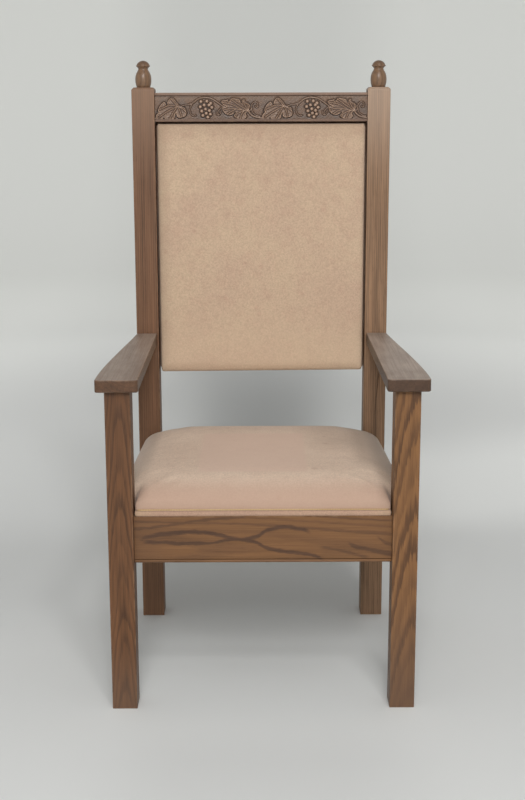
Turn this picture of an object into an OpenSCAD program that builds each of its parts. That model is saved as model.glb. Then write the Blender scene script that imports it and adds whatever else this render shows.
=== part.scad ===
// Pulpit chair: an oak armchair with square legs, tall back posts with turned finials, a carved
// crest rail, a padded back panel, and a crowned seat on mortised seat rails.
// X runs to the right as seen from the front, Y to the back and Z up, with the floor at zero.
// Left and right are as seen from the front.

/* [Frame] */
// Side of the square section of the legs and posts
leg_w = 48; // [42:1:56]
// Width across the outer faces of the front legs
front_w = 585; // [540:1:640]
// Width across the outer faces of the back posts
back_w = 545; // [500:1:600]
// Depth from the front faces of the legs to the back faces of the posts
base_d = 529; // [480:1:580]
// Height of the front legs, which is the underside of the arms
leg_h = 631; // [590:1:680]
// Height of the back posts
post_h = 1178; // [1100:1:1300]
// Bevel round the top of each post
post_bevel = 4.5; // [2:0.5:8]

/* [Seat rails] */
// Height of the top of the seat rails
rail_top = 386; // [350:1:420]
// Height of a seat rail's section
rail_h = 93; // [70:1:110]
// Thickness of a seat rail
rail_t = 22; // [18:1:25]
// Set-back of the rails behind the faces of the legs
rail_set = 14; // [10:1:18]
// Radius of the bead on the front rail's lower edge
bead_r = 3.2; // [1.5:0.1:4]
// Width of the groove above that bead
bead_quirk = 1.2; // [0.8:0.1:2]
// Thickness of a seat rail's tenon
tenon_t = 10; // [8:1:12]
// Length of the tenons of the front and back seat rails
cross_tenon_l = 14; // [10:1:15]
// Length of the tenons of the side seat rails
side_tenon_l = 22; // [16:1:24]
// Shoulder above and below a seat rail's tenon
tenon_shoulder = 12; // [8:1:18]

/* [Crest and back rails] */
// Drop from the top of the posts to the top of the crest rail
crest_drop = 11; // [6:1:20]
// Height of the crest rail
crest_h = 60; // [52:1:72]
// Thickness of the crest rail
crest_t = 26; // [22:1:30]
// Set-back of the crest rail behind the front of the posts
crest_set = 5; // [2:1:10]
// Flat border above the carved band
border_top = 6; // [5:0.5:10]
// Flat border below the carved band
border_bottom = 6; // [5:0.5:10]
// Depth of the sunk band that holds the carving
band_d = 8; // [6:0.5:10]
// Thickness of the tenons of the crest rail and cross rails
back_tenon_t = 8; // [6:1:10]
// Shoulder above and below those tenons
back_shoulder = 8; // [6:1:12]
// Height of each cross rail behind the panel
cross_rail_h = 58; // [40:1:75]
// Thickness of each cross rail
cross_rail_t = 18; // [15:1:19]
// Set-back of the cross rails in front of the posts' back faces
cross_rail_set = 2; // [1:0.5:4]
// Height of the lower cross rail above the panel's bottom edge
cross_rail_lift = 34; // [20:1:80]

/* [Vine moulding] */
// Thickness of the moulding's ground
vine_ground_t = 4; // [3.5:0.1:4.5]
// Height of the leaves above the ground
leaf_relief = 2.6; // [1.5:0.1:3.4]
// Width of a leaf
leaf_w = 66; // [50:1:72]
// Gap between a leaf and the long edges of the moulding
leaf_gap = 2.8; // [1:0.1:5]
// Radius of a grape
grape_r = 3.5; // [2.8:0.1:3.8]
// Spacing of the grapes across a bunch
grape_pitch = 7.6; // [7:0.1:9]
// Radius of the vine's stem
stem_r = 1.5; // [1:0.1:2.2]

/* [Arms] */
// Thickness of an arm
arm_t = 24; // [20:1:28]
// Overhang of an arm in front of its leg
arm_nose = 15; // [8:1:25]
// Overhang of an arm past each side of its leg
arm_side = 16; // [10:1:20]
// Distance of an arm's inner edge, at its back end, from the post's inner face
arm_heel_set = 4; // [0:1:10]
// Radius of an arm's front corners
arm_corner_r = 7; // [3:1:12]
// Radius of the arm dowels
dowel_r = 4.5; // [4:0.5:5]
// Spacing of the two dowels of a joint
dowel_spacing = 22; // [16:1:26]
// Depth of the dowels in a leg or a post
dowel_in_post = 26; // [18:1:32]
// Depth of the front dowels in an arm
dowel_in_arm = 15; // [10:1:17]
// Depth of the back dowels in an arm
dowel_in_arm_end = 26; // [18:1:34]

/* [Finials] */
// Height of a finial above its post
finial_h = 55; // [45:1:75]
// Radius of the finial's widest part
finial_r = 17; // [14:0.5:20]
// Radius of the finial's round tenon
finial_pin_r = 6; // [5:0.5:7]
// Length of that tenon
finial_pin_l = 24; // [18:1:30]

/* [Seat] */
// Height of the seat's crown above the seat rails
seat_rise = 66; // [50:1:80]
// Height of the seat's upright sides
seat_wall = 21; // [16:1:30]
// Extra dome in the middle of the seat
seat_dome = 3; // [1:0.5:8]
// Power of the roll at the seat's edges
seat_roll = 8; // [4:0.5:12]
// Squareness of the contours of the seat's crown
seat_square = 4; // [3:0.5:8]
// Set-back of the seat's front behind the faces of the legs
seat_front_set = 12; // [8:1:18]
// Set-back of the seat's back edge in front of the posts' back faces
seat_back_set = 14; // [10:1:24]
// Set-back of the seat's sides from the line of the outer faces
seat_side_set = 9; // [6:1:16]
// Gap between the seat and the legs and posts
seat_gap = 3; // [2:0.5:6]
// Thickness of the seat board
seat_board_t = 12; // [9:1:15]
// Width of fabric turned under the seat board
seat_flange = 14; // [10:1:18]

/* [Back panel] */
// Gap between the crest rail and the panel
panel_top_gap = 4; // [3:0.5:8]
// Gap between the panel and each post
panel_side_gap = 5.5; // [4:0.5:9]
// Height of the panel
panel_h = 533; // [450:1:600]
// Radius of the panel's top corners
panel_top_r = 4; // [2:1:10]
// Radius of the panel's bottom corners
panel_bottom_r = 10; // [6:1:20]
// Thickness of the panel's board
panel_board_t = 10; // [8:1:12]
// Set-back of the panel's front edge behind the front of the posts
panel_set = 3; // [1:0.5:6]
// Rise of the roll round the panel's edge
panel_rise = 5; // [3:0.5:8]
// Extra dome in the middle of the panel
panel_dome = 3; // [1:0.5:8]
// Power of the roll at the panel's edges
panel_roll = 14; // [8:1:20]
// Squareness of the contours of the panel's crown
panel_square = 12; // [6:1:20]
// Width of fabric turned behind the panel's board
panel_flange = 16; // [10:1:24]
// Thickness of the stiffened lining behind the panel
lining_t = 1.6; // [1:0.2:2.4]

/* [Cloth] */
// Thickness of the upholstery cover
cover_t = 1.2; // [0.8:0.1:1.6]
// Draw of a cover's sides towards its board
cover_tuck = 1.2; // [0.6:0.1:2]
// Thickness of the dust cloth
dust_t = 0.6; // [0.4:0.1:1]

/* [Blocks and screws] */
// Length of a corner block along each rail
block_l = 84; // [76:1:96]
// Height of a corner block
block_h = 28; // [22:1:40]
// Radius of a screw's shank
screw_r = 2; // [1.6:0.1:2.4]
// Radius of a screw's head
head_r = 4; // [3.4:0.1:4.6]
// Height of a screw's head
head_h = 3; // [2:0.1:4]
// Distance of a seat screw from both faces of the leg's inner corner
seat_screw_in = 19; // [17:1:24]
// Grip of a block's screws in the rails
block_grip = 14; // [10:1:16]
// Thickness of block under the heads of its side screws
block_hold = 14; // [10:1:18]
// Grip of the seat screws in the seat board
seat_grip = 9; // [6:1:11]
// Distance of the panel screws from the middle of the chair
panel_screw_x = 140; // [80:5:190]
// Grip of the panel screws in the panel's board
panel_grip = 7; // [5:1:7.5]

/* [Hidden] */
$fn = 48;

// Clearance round a glued tenon, dowel or planted strip
joint_gap = 0.2;
// Clearance at the blind end of a mortise or bore
end_gap = 0.8;
// Clearance between foam, board and the cloth round them
soft_gap = 0.3;
// Overrun of a cut past the face that it starts from
over = 1;

oak = [0.45, 0.33, 0.24];
oak_light = [0.5, 0.38, 0.29];
oak_carved = [0.4, 0.29, 0.22];
birch = [0.78, 0.66, 0.48];
plush = [0.77, 0.66, 0.57];
foam_white = [0.9, 0.88, 0.78];
cambric = [0.12, 0.12, 0.13];
steel = [0.68, 0.67, 0.64];

// Places that the pieces share
front_y = arm_nose - (base_d + arm_nose) / 2;
back_y = front_y + base_d;
leg_x = front_w / 2;
post_x = back_w / 2;
leg_in = leg_x - leg_w;
post_in = post_x - leg_w;
leg_back = front_y + leg_w;
post_front = back_y - leg_w;
rail_bottom = rail_top - rail_h;
front_rail_in = front_y + rail_set + rail_t;
back_rail_in = back_y - rail_set - rail_t;
crest_top = post_h - crest_drop;
crest_bottom = crest_top - crest_h;
crest_front = post_front + crest_set;
panel_top = crest_bottom - panel_top_gap;
panel_bottom = panel_top - panel_h;
panel_x = post_in - panel_side_gap;
cross_rail_back = back_y - cross_rail_set;
cross_rail_front = cross_rail_back - cross_rail_t;
upper_rail_bottom = panel_top - cross_rail_h;
lower_rail_bottom = panel_bottom + cross_rail_lift;

function unit(v) = v / norm(v);
function backwards(list) = [for (i = [len(list) - 1:-1:0]) list[i]];

// Half width of the chair at depth y, along the line of the outer faces
function outer_x(y) = leg_x + (post_x - leg_x) * (y - front_y) / (post_front - front_y);
// Outer and inner faces of a side rail at depth y
function side_out(y) = leg_x - rail_set
    + (post_x - leg_x) * (y - leg_back) / (post_front - leg_back);
function side_in(y) = side_out(y) - rail_t;

// A closed outline whose corners are rounded and whose long sides are divided at most every step
function corner_arc(a, b, c, r, n) = let (p = b + unit(a - b) * r, q = b + unit(c - b) * r)
    [for (i = [0:n]) let (t = i / n) (1 - t) * (1 - t) * p + 2 * t * (1 - t) * b + t * t * q];
function divide(p, q, step) = let (n = ceil(norm(q - p) / step))
    [for (i = [1:1:n - 1]) p + (q - p) * i / n];
function soften(points, radii, n, step) = let (count = len(points))
    [for (i = [0:count - 1])
        let (a = points[(i + count - 1) % count], b = points[i], c = points[(i + 1) % count],
            d = points[(i + 2) % count], next = (i + 1) % count,
            leave = b + unit(c - b) * radii[i], arrive = c + unit(b - c) * radii[next])
        each concat(corner_arc(a, b, c, radii[i], n), divide(leave, arrive, step))];

// A crown is its rise, its extra dome, the power of its roll at the edge, the squareness of its
// contours, and its half width and half depth. A contour's reach from the centre in direction d:
function reach(d, crown) = norm(d) / pow(
    pow(abs(d.x) / crown[4], crown[3]) + pow(abs(d.y) / crown[5], crown[3]), 1 / crown[3]);

// A ring is a share of the way out from the centre: the outline itself at the edge, and further in
// ever nearer to a contour of the crown. An inset draws it in.
contour_power = 4;
function ring(outline, centre, share, inset, crown) = [for (p = outline)
    let (d = p - centre, k = pow(share, contour_power),
        r = share < 1 ? k * norm(d) + (1 - k) * reach(d, crown) : norm(d))
    centre + unit(d) * (r - inset) * share];
function lift(points, z) = [for (p = points) [p.x, p.y, z]];
function crown_z(share, crown) = crown[0] * (1 - pow(share, crown[2])) + crown[1] * (1 - share * share);

// Triangles over a run of rings that starts and ends at a single point. From the ring named inner
// on, which is where a cover's inside climbs again, they lie as on the foam below it.
function closed_faces(n, rings, inner) = let (last = 1 + n * rings) concat(
    [for (i = [0:n - 1]) [0, 1 + (i + 1) % n, 1 + i]],
    [for (k = [0:rings - 2]) for (i = [0:n - 1])
        let (a = 1 + k * n, b = a + n, j = (i + 1) % n)
        each k < inner ? [[a + i, a + j, b + j], [a + i, b + j, b + i]]
            : [[a + i, a + j, b + i], [a + j, b + j, b + i]]],
    [for (i = [0:n - 1]) let (a = last - n) [last, a + i, a + (i + 1) % n]]);

// A fitted cover: crowned outside, open below inside its turned flange
module cover_shell(outline, centre, shares, wall, crown, flange) {
    top = wall + crown_z(0, crown);
    points = concat(
        [[centre.x, centre.y, top]],
        [for (s = shares) each lift(ring(outline, centre, s, 0, crown), wall + crown_z(s, crown))],
        lift(ring(outline, centre, 1, cover_tuck), 0),
        lift(ring(outline, centre, 1, flange), 0),
        lift(ring(outline, centre, 1, flange), cover_t),
        lift(ring(outline, centre, 1, cover_tuck + cover_t), cover_t),
        [for (s = backwards(shares)) each lift(ring(outline, centre, s, cover_t, crown),
            wall + crown_z(s, crown) - cover_t)],
        [[centre.x, centre.y, top - cover_t]]);
    turned_rings = 4;
    inner = len(shares) + turned_rings;
    polyhedron(points, closed_faces(len(outline), inner + len(shares), inner));
}

// The foam inside a cover, flat where it lies on its board
module foam_block(outline, centre, shares, wall, crown, board_t) {
    inset = cover_t + soft_gap;
    bottom = cover_t + board_t;
    points = concat(
        [[centre.x, centre.y, wall + crown_z(0, crown) - inset]],
        [for (s = shares) each lift(ring(outline, centre, s, inset, crown),
            wall + crown_z(s, crown) - inset)],
        lift(ring(outline, centre, 1, inset + cover_tuck), bottom),
        [[centre.x, centre.y, bottom]]);
    rings = len(shares) + 1;
    polyhedron(points, closed_faces(len(outline), rings, rings));
}

// The board inside a cover
module board_plate(outline, centre, board_t) {
    translate([0, 0, cover_t])
        linear_extrude(height = board_t)
            polygon(ring(outline, centre, 1, cover_t + cover_tuck + soft_gap));
}

// A cylinder from one point along an axis named x, y or z, forwards or backwards
module rod(at, axis, length, r) {
    turn = axis == "x" ? [0, 90, 0] : axis == "y" ? [-90, 0, 0] : [0, 0, 0];
    translate(at) rotate(turn) translate([0, 0, min(length, 0)]) cylinder(h = abs(length), r = r);
}

// A screw, and the hole that clears it. The head's face is at the start of the rod.
module screw(at, axis, length, dir) {
    rod(at, axis, dir * head_h, head_r);
    rod(at, axis, dir * length, screw_r);
}
module screw_hole(at, axis, length, dir) {
    step = axis == "x" ? [1, 0, 0] : axis == "y" ? [0, 1, 0] : [0, 0, 1];
    rod(at - step * dir * over, axis, dir * (head_h + over), head_r + joint_gap);
    rod(at, axis, dir * (length + end_gap), screw_r + joint_gap);
}

// A tenon is a low corner and a size. Its mortise is clear on four sides and at the blind end.
module tenon(box) {
    translate(box[0]) cube(box[1]);
}
module mortise(box, axis) {
    grow = axis == "x" ? [end_gap, joint_gap, joint_gap] : [joint_gap, end_gap, joint_gap];
    translate(box[0] - grow) cube(box[1] + 2 * grow);
}

// Tenons on the right-hand side of the chair
tenon_z = rail_bottom + tenon_shoulder;
tenon_h = rail_h - 2 * tenon_shoulder;
cross_tenon = [cross_tenon_l, tenon_t, tenon_h];
side_tenon = [tenon_t, side_tenon_l, tenon_h];
tenon_in = (rail_t - tenon_t) / 2;
front_tenon = [[leg_in, front_y + rail_set + tenon_in, tenon_z], cross_tenon];
back_tenon = [[post_in, back_rail_in + tenon_in, tenon_z], cross_tenon];
side_front_tenon = [[side_in(leg_back) + tenon_in, leg_back - side_tenon_l, tenon_z], side_tenon];
side_back_tenon = [[side_in(post_front) + tenon_in, post_front, tenon_z], side_tenon];
crest_tenon = [
    [post_in, crest_front + (crest_t - back_tenon_t) / 2, crest_bottom + back_shoulder],
    [cross_tenon_l, back_tenon_t, crest_h - 2 * back_shoulder]];
function cross_rail_tenon(bottom) = [
    [post_in, cross_rail_front + (cross_rail_t - back_tenon_t) / 2, bottom + back_shoulder],
    [cross_tenon_l, back_tenon_t, cross_rail_h - 2 * back_shoulder]];

module mirrored() {
    children();
    mirror([1, 0, 0]) children();
}

// Arm dowels on the right-hand side
arm_in = leg_in - arm_side;
arm_out = leg_x + arm_side;
arm_heel = post_in + arm_heel_set;
front_dowel_x = leg_x - leg_w / 2;
front_dowel_y = front_y + leg_w / 2;
back_dowel_x = (arm_heel + post_x) / 2;
back_dowel_z = leg_h + arm_t / 2;
half_spacing = dowel_spacing / 2;
module front_dowels(gap, in_leg, in_arm) {
    for (y = [front_dowel_y - half_spacing, front_dowel_y + half_spacing])
        rod([front_dowel_x, y, leg_h - in_leg], "z", in_leg + in_arm, dowel_r + gap);
}
module back_dowels(gap, in_post, in_arm) {
    for (x = [back_dowel_x - half_spacing, back_dowel_x + half_spacing])
        rod([x, post_front + in_post, back_dowel_z], "y", -(in_post + in_arm), dowel_r + gap);
}

module front_leg() {
    difference() {
        translate([leg_in, front_y, 0]) cube([leg_w, leg_w, leg_h]);
        mortise(front_tenon, "x");
        mortise(side_front_tenon, "y");
        front_dowels(joint_gap, dowel_in_post + end_gap, over);
    }
}

module back_post() {
    difference() {
        translate([post_in, post_front, 0]) cube([leg_w, leg_w, post_h]);
        translate([post_in + leg_w / 2, post_front + leg_w / 2, post_h - post_bevel])
            for (turn = [0:90:270])
                rotate([0, 0, turn])
                    translate([leg_w / 2, -leg_w / 2 - over, 0])
                        rotate([0, -45, 0])
                            cube([2 * post_bevel, leg_w + 2 * over, 2 * post_bevel]);
        mortise(back_tenon, "x");
        mortise(side_back_tenon, "y");
        mortise(crest_tenon, "x");
        mortise(cross_rail_tenon(upper_rail_bottom), "x");
        mortise(cross_rail_tenon(lower_rail_bottom), "x");
        back_dowels(joint_gap, dowel_in_post + end_gap, over);
        rod([post_x - leg_w / 2, post_front + leg_w / 2, post_h + over], "z",
            -(finial_pin_l + end_gap + over), finial_pin_r + joint_gap);
    }
}

// A corner block on the right-hand side, between the inner faces of two rails and notched round the
// leg or post whose inner corner is at x, y. Turn is 1 at the front and -1 at the back.
block_screw_share = 0.36;
block_level_shares = [0.32, 0.68];
function block_spec(front) = front
    ? [leg_in, leg_back, front_rail_in, 1]
    : [post_in, post_front, back_rail_in, -1];
function block_side_x(s) = side_in(s[1]) - block_l * (1 - block_screw_share);
function block_side_y(s) = s[2] + s[3] * block_l * (1 - block_screw_share);
function seat_screw_at(s) = [s[0] - seat_screw_in, s[1] + s[3] * seat_screw_in, rail_top - block_h];
function cross_screw_at(s) = [block_side_x(s), s[2] + s[3] * (block_hold + head_h),
    rail_top - block_h * block_level_shares[0]];
function side_screw_at(s) = [side_in(block_side_y(s)) - block_hold - head_h, block_side_y(s),
    rail_top - block_h * block_level_shares[1]];

module block_screw_pair(s) {
    screw(cross_screw_at(s), "y", head_h + block_hold + block_grip, -s[3]);
    screw(side_screw_at(s), "x", head_h + block_hold + block_grip, 1);
}
module block_screw_holes(s) {
    screw_hole(cross_screw_at(s), "y", head_h + block_hold + block_grip, -s[3]);
    screw_hole(side_screw_at(s), "x", head_h + block_hold + block_grip, 1);
}
module seat_screw_holes() {
    for (front = [true, false]) mirrored()
        screw_hole(seat_screw_at(block_spec(front)), "z", block_h + cover_t + seat_grip, 1);
}

module corner_block(front) {
    s = block_spec(front);
    notch_x = s[0] - joint_gap;
    notch_y = s[1] + s[3] * joint_gap;
    far_y = s[2] + s[3] * block_l;
    difference() {
        translate([0, 0, rail_top - block_h])
            linear_extrude(height = block_h)
                polygon([[notch_x, s[2]], [side_in(s[1]) - block_l, s[2]], [side_in(far_y), far_y],
                    [side_in(notch_y), notch_y], [notch_x, notch_y]]);
        block_screw_holes(s);
        rod(cross_screw_at(s), "y", s[3] * block_l, head_r + joint_gap);
        rod(side_screw_at(s), "x", -block_l, head_r + joint_gap);
        screw_hole(seat_screw_at(s), "z", block_h + cover_t + seat_grip, 1);
    }
}

module side_seat_rail() {
    difference() {
        union() {
            translate([0, 0, rail_bottom])
                linear_extrude(height = rail_h)
                    polygon([[side_in(leg_back), leg_back], [side_out(leg_back), leg_back],
                        [side_out(post_front), post_front], [side_in(post_front), post_front]]);
            tenon(side_front_tenon);
            tenon(side_back_tenon);
        }
        block_screw_holes(block_spec(true));
        block_screw_holes(block_spec(false));
    }
}

module front_seat_rail() {
    face_y = front_y + rail_set;
    color(oak) difference() {
        union() {
            difference() {
                translate([-leg_in, face_y, rail_bottom]) cube([2 * leg_in, rail_t, rail_h]);
                translate([-leg_in - over, face_y - over, rail_bottom - over])
                    cube([2 * (leg_in + over), bead_r + over, 2 * bead_r + bead_quirk + over]);
            }
            rod([-leg_in, face_y + bead_r, rail_bottom + bead_r], "x", 2 * leg_in, bead_r);
            mirrored() tenon(front_tenon);
        }
        mirrored() block_screw_holes(block_spec(true));
    }
}

module back_seat_rail() {
    color(oak) difference() {
        union() {
            translate([-post_in, back_rail_in, rail_bottom]) cube([2 * post_in, rail_t, rail_h]);
            mirrored() tenon(back_tenon);
        }
        mirrored() block_screw_holes(block_spec(false));
    }
}

module crest_rail() {
    color(oak) difference() {
        union() {
            translate([-post_in, crest_front, crest_bottom]) cube([2 * post_in, crest_t, crest_h]);
            mirrored() tenon(crest_tenon);
        }
        translate([-post_in - over, crest_front - over, crest_bottom + border_bottom])
            cube([2 * (post_in + over), band_d + over, crest_h - border_top - border_bottom]);
    }
}

module panel_screw_holes() {
    for (bottom = [upper_rail_bottom, lower_rail_bottom]) mirrored()
        screw_hole([panel_screw_x, cross_rail_back, bottom + cross_rail_h / 2], "y",
            cross_rail_t + lining_t + cover_t + panel_grip, -1);
}

module cross_rail(bottom) {
    color(oak) difference() {
        union() {
            translate([-post_in, cross_rail_front, bottom])
                cube([2 * post_in, cross_rail_t, cross_rail_h]);
            mirrored() tenon(cross_rail_tenon(bottom));
        }
        panel_screw_holes();
    }
}

// The carved strip is drawn flat, with its relief upwards, in two equal lengths of vine. Places along
// it are shares of such a length, heights and radii of curls are shares of the strip's height, and the
// grapes lie at multiples of their spacing. A turn is a start and a sweep.
vine_l = post_in - joint_gap;
vine_h = crest_h - border_top - border_bottom - 2 * joint_gap;
vine_centre_z = crest_bottom + border_bottom + joint_gap + vine_h / 2;
leaf_h = vine_h - 2 * leaf_gap;
leaf_place_shares = [0.157, 0.756];
leaf_lobes = 5;
leaf_steps = 40;
lobe_depth_share = 0.24;
bunch_shares = [0.46, -0.07];
grape_shares = [[-1.3, 2], [0.3, 2.1], [1.2, 1.6], [-1.65, 0.5], [-0.45, 1], [0.75, 0.9],
    [1.7, 0.3], [-1.25, -0.6], [-0.1, -0.15], [0.95, -0.55], [0.1, -1.3], [-0.9, -1.8],
    [1.15, -1.65], [0.35, -2.35]];
arch_r_share = 1;
arch_turn = [45, 90];
curl_r_share = 0.2;
scroll_shares = [0.35, -0.17];
scroll_turn = [80, 200];
loop_shares = [0.948, 0.125];
loop_turn = [-60, 300];

// A leaf's first lobe points back along the vine
function leaf_points() = [for (i = [0:leaf_steps - 1])
    let (a = 360 * i / leaf_steps,
        r = 1 - lobe_depth_share + lobe_depth_share * cos(leaf_lobes * (a - 180)))
    [r * cos(a) * leaf_w / 2, r * sin(a) * leaf_h / 2]];
module vine_curl(at, r, turn) {
    translate(at) rotate([0, 0, turn[0]])
        rotate_extrude(angle = turn[1]) translate([r, 0]) circle(r = stem_r);
}
module vine_unit() {
    arch_r = arch_r_share * vine_h;
    curl_r = curl_r_share * vine_h;
    bunch = [bunch_shares[0] * vine_l, bunch_shares[1] * vine_h];
    for (share = leaf_place_shares)
        translate([share * vine_l, 0, -over])
            linear_extrude(height = leaf_relief + over) polygon(leaf_points());
    for (g = grape_shares)
        translate(bunch + g * grape_pitch) sphere(r = grape_r);
    vine_curl([bunch.x, vine_h / 2 - stem_r - arch_r, 0], arch_r, arch_turn);
    vine_curl([scroll_shares[0] * vine_l, scroll_shares[1] * vine_h, 0], curl_r, scroll_turn);
    vine_curl([loop_shares[0] * vine_l, loop_shares[1] * vine_h, 0], curl_r, loop_turn);
}
module vine_moulding() {
    color(oak_carved)
        translate([0, crest_front + band_d - vine_ground_t, vine_centre_z]) rotate([90, 0, 0]) {
            translate([-vine_l, -vine_h / 2, -vine_ground_t])
                cube([2 * vine_l, vine_h, vine_ground_t]);
            for (start = [-vine_l, 0]) translate([start, 0, 0]) vine_unit();
        }
}

// The arm's outer edge sweeps in from the leg to the post
arm_bow_shares = [0.27, 0.69];
arm_sweep_share = 0.3;
function bezier(a, b, c, d, n) = [for (i = [0:n]) let (t = i / n, u = 1 - t)
    u * u * u * a + 3 * u * u * t * b + 3 * u * t * t * c + t * t * t * d];
function arm_points() = let (
    nose = front_y - arm_nose, reach = post_front - front_y,
    back_in = [arm_heel, post_front], nose_in = [arm_in, nose],
    nose_out = [arm_out, nose], leg_out = [arm_out, front_y],
    pull = [arm_out, front_y + reach * arm_bow_shares[0]],
    push = [post_x + (arm_out - post_x) * arm_sweep_share, front_y + reach * arm_bow_shares[1]])
    concat([back_in],
        corner_arc(back_in, nose_in, nose_out, arm_corner_r, 4),
        corner_arc(nose_in, nose_out, leg_out, arm_corner_r, 4),
        bezier(leg_out, pull, push, [post_x, post_front], 16));
module arm() {
    color(oak_light) difference() {
        translate([0, 0, leg_h]) linear_extrude(height = arm_t) polygon(arm_points());
        front_dowels(joint_gap, over, dowel_in_arm + end_gap);
        back_dowels(joint_gap, over, dowel_in_arm_end + end_gap);
    }
}

// A finial: an urn with a neck, a collar and a domed cap, over a round tenon
urn_shares = [[0.83, 0], [0.9, 0.07], [1, 0.26], [0.97, 0.36], [0.84, 0.5], [0.7, 0.62], [0.635, 0.7],
    [0.66, 0.75], [0.87, 0.83], [0.875, 0.87], [0.76, 0.9], [0.6, 0.95], [0.34, 0.985], [0, 1]];
module finial() {
    color(oak) translate([post_x - leg_w / 2, post_front + leg_w / 2, post_h])
        rotate_extrude() polygon(concat(
            [[0, -finial_pin_l], [finial_pin_r, -finial_pin_l], [finial_pin_r, 0]],
            [for (p = urn_shares) [p.x * finial_r, p.y * finial_h]]));
}

// The seat's outline, notched round the legs and posts
seat_front = front_y + seat_front_set;
seat_back = back_y - seat_back_set;
seat_shoulder = leg_back + seat_gap;
seat_heel = post_front - seat_gap;
seat_front_x = leg_in - seat_gap;
seat_back_x = post_in - seat_gap;
seat_centre = [0, (seat_front + seat_back) / 2];
seat_corner_r = 9;
seat_shoulder_r = 16;
seat_notch_r = 3;
seat_step = 75;
seat_right = [[seat_front_x, seat_front], [seat_front_x, seat_shoulder],
    [outer_x(seat_shoulder) - seat_side_set, seat_shoulder],
    [outer_x(seat_heel) - seat_side_set, seat_heel],
    [seat_back_x, seat_heel], [seat_back_x, seat_back]];
seat_right_r = [seat_corner_r, seat_notch_r, seat_shoulder_r,
    seat_shoulder_r, seat_notch_r, seat_corner_r];
seat_corners = concat(seat_right, [for (p = backwards(seat_right)) [-p.x, p.y]]);
seat_radii = concat(seat_right_r, backwards(seat_right_r));
seat_outline = soften(seat_corners, seat_radii, 2, seat_step);
seat_ring_shares = [0.3, 0.6, 0.8, 0.9, 0.96, 1];
seat_crown = [seat_rise - seat_wall - seat_dome, seat_dome, seat_roll, seat_square,
    outer_x(seat_centre.y) - seat_side_set, (seat_back - seat_front) / 2];

module seat_cover() {
    color(plush) translate([0, 0, rail_top])
        cover_shell(seat_outline, seat_centre, seat_ring_shares, seat_wall, seat_crown, seat_flange);
}
module seat_foam() {
    color(foam_white) translate([0, 0, rail_top])
        foam_block(seat_outline, seat_centre, seat_ring_shares, seat_wall, seat_crown, seat_board_t);
}
module seat_board() {
    color(birch) difference() {
        translate([0, 0, rail_top]) board_plate(seat_outline, seat_centre, seat_board_t);
        seat_screw_holes();
    }
}
module dust_cover() {
    color(cambric) difference() {
        translate([0, 0, rail_top + cover_t - dust_t])
            linear_extrude(height = dust_t)
                polygon(ring(seat_outline, seat_centre, 1, seat_flange + soft_gap));
        seat_screw_holes();
    }
}

// The back panel is drawn flat, with its back at zero and its front upwards, then stood up
panel_wall = cross_rail_front - lining_t - post_front - panel_set;
panel_centre = [0, 0];
panel_step = 90;
panel_corners = [[panel_x, -panel_h / 2], [panel_x, panel_h / 2],
    [-panel_x, panel_h / 2], [-panel_x, -panel_h / 2]];
panel_radii = [panel_bottom_r, panel_top_r, panel_top_r, panel_bottom_r];
panel_outline = soften(panel_corners, panel_radii, 3, panel_step);
panel_ring_shares = [0.3, 0.6, 0.82, 0.92, 0.97, 1];
panel_crown = [panel_rise, panel_dome, panel_roll, panel_square, panel_x, panel_h / 2];
module stood_up() {
    translate([0, cross_rail_front - lining_t, panel_bottom + panel_h / 2])
        rotate([90, 0, 0]) children();
}
module back_cover() {
    color(plush) stood_up()
        cover_shell(panel_outline, panel_centre, panel_ring_shares, panel_wall, panel_crown,
            panel_flange);
}
module back_foam() {
    color(foam_white) stood_up()
        foam_block(panel_outline, panel_centre, panel_ring_shares, panel_wall, panel_crown,
            panel_board_t);
}
module back_board() {
    color(birch) difference() {
        stood_up() board_plate(panel_outline, panel_centre, panel_board_t);
        panel_screw_holes();
    }
}
module outside_back() {
    color(plush) difference() {
        stood_up() {
            translate([0, 0, -lining_t])
                linear_extrude(height = lining_t)
                    polygon(ring(panel_outline, panel_centre, 1, cover_t + cover_tuck));
            linear_extrude(height = cover_t)
                polygon(ring(panel_outline, panel_centre, 1, panel_flange + soft_gap));
        }
        panel_screw_holes();
    }
}

module front_leg_right() { color(oak) front_leg(); }
module front_leg_left() { color(oak) mirror([1, 0, 0]) front_leg(); }
module back_post_right() { color(oak) back_post(); }
module back_post_left() { color(oak) mirror([1, 0, 0]) back_post(); }
module side_seat_rail_right() { color(oak) side_seat_rail(); }
module side_seat_rail_left() { color(oak) mirror([1, 0, 0]) side_seat_rail(); }
module upper_back_rail() { cross_rail(upper_rail_bottom); }
module lower_back_rail() { cross_rail(lower_rail_bottom); }
module arm_right() { arm(); }
module arm_left() { mirror([1, 0, 0]) arm(); }
module arm_front_dowels() { color(birch) mirrored() front_dowels(0, dowel_in_post, dowel_in_arm); }
module arm_back_dowels() { color(birch) mirrored() back_dowels(0, dowel_in_post, dowel_in_arm_end); }
module finial_right() { finial(); }
module finial_left() { mirror([1, 0, 0]) finial(); }
module corner_block_front_right() { color(birch) corner_block(true); }
module corner_block_front_left() { color(birch) mirror([1, 0, 0]) corner_block(true); }
module corner_block_back_right() { color(birch) corner_block(false); }
module corner_block_back_left() { color(birch) mirror([1, 0, 0]) corner_block(false); }
module corner_block_screws() {
    color(steel) for (front = [true, false]) mirrored() block_screw_pair(block_spec(front));
}
module seat_screws() {
    color(steel) for (front = [true, false]) mirrored()
        screw(seat_screw_at(block_spec(front)), "z", block_h + cover_t + seat_grip, 1);
}
module back_panel_screws() {
    color(steel) for (bottom = [upper_rail_bottom, lower_rail_bottom]) mirrored()
        screw([panel_screw_x, cross_rail_back, bottom + cross_rail_h / 2], "y",
            cross_rail_t + lining_t + cover_t + panel_grip, -1);
}

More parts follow.
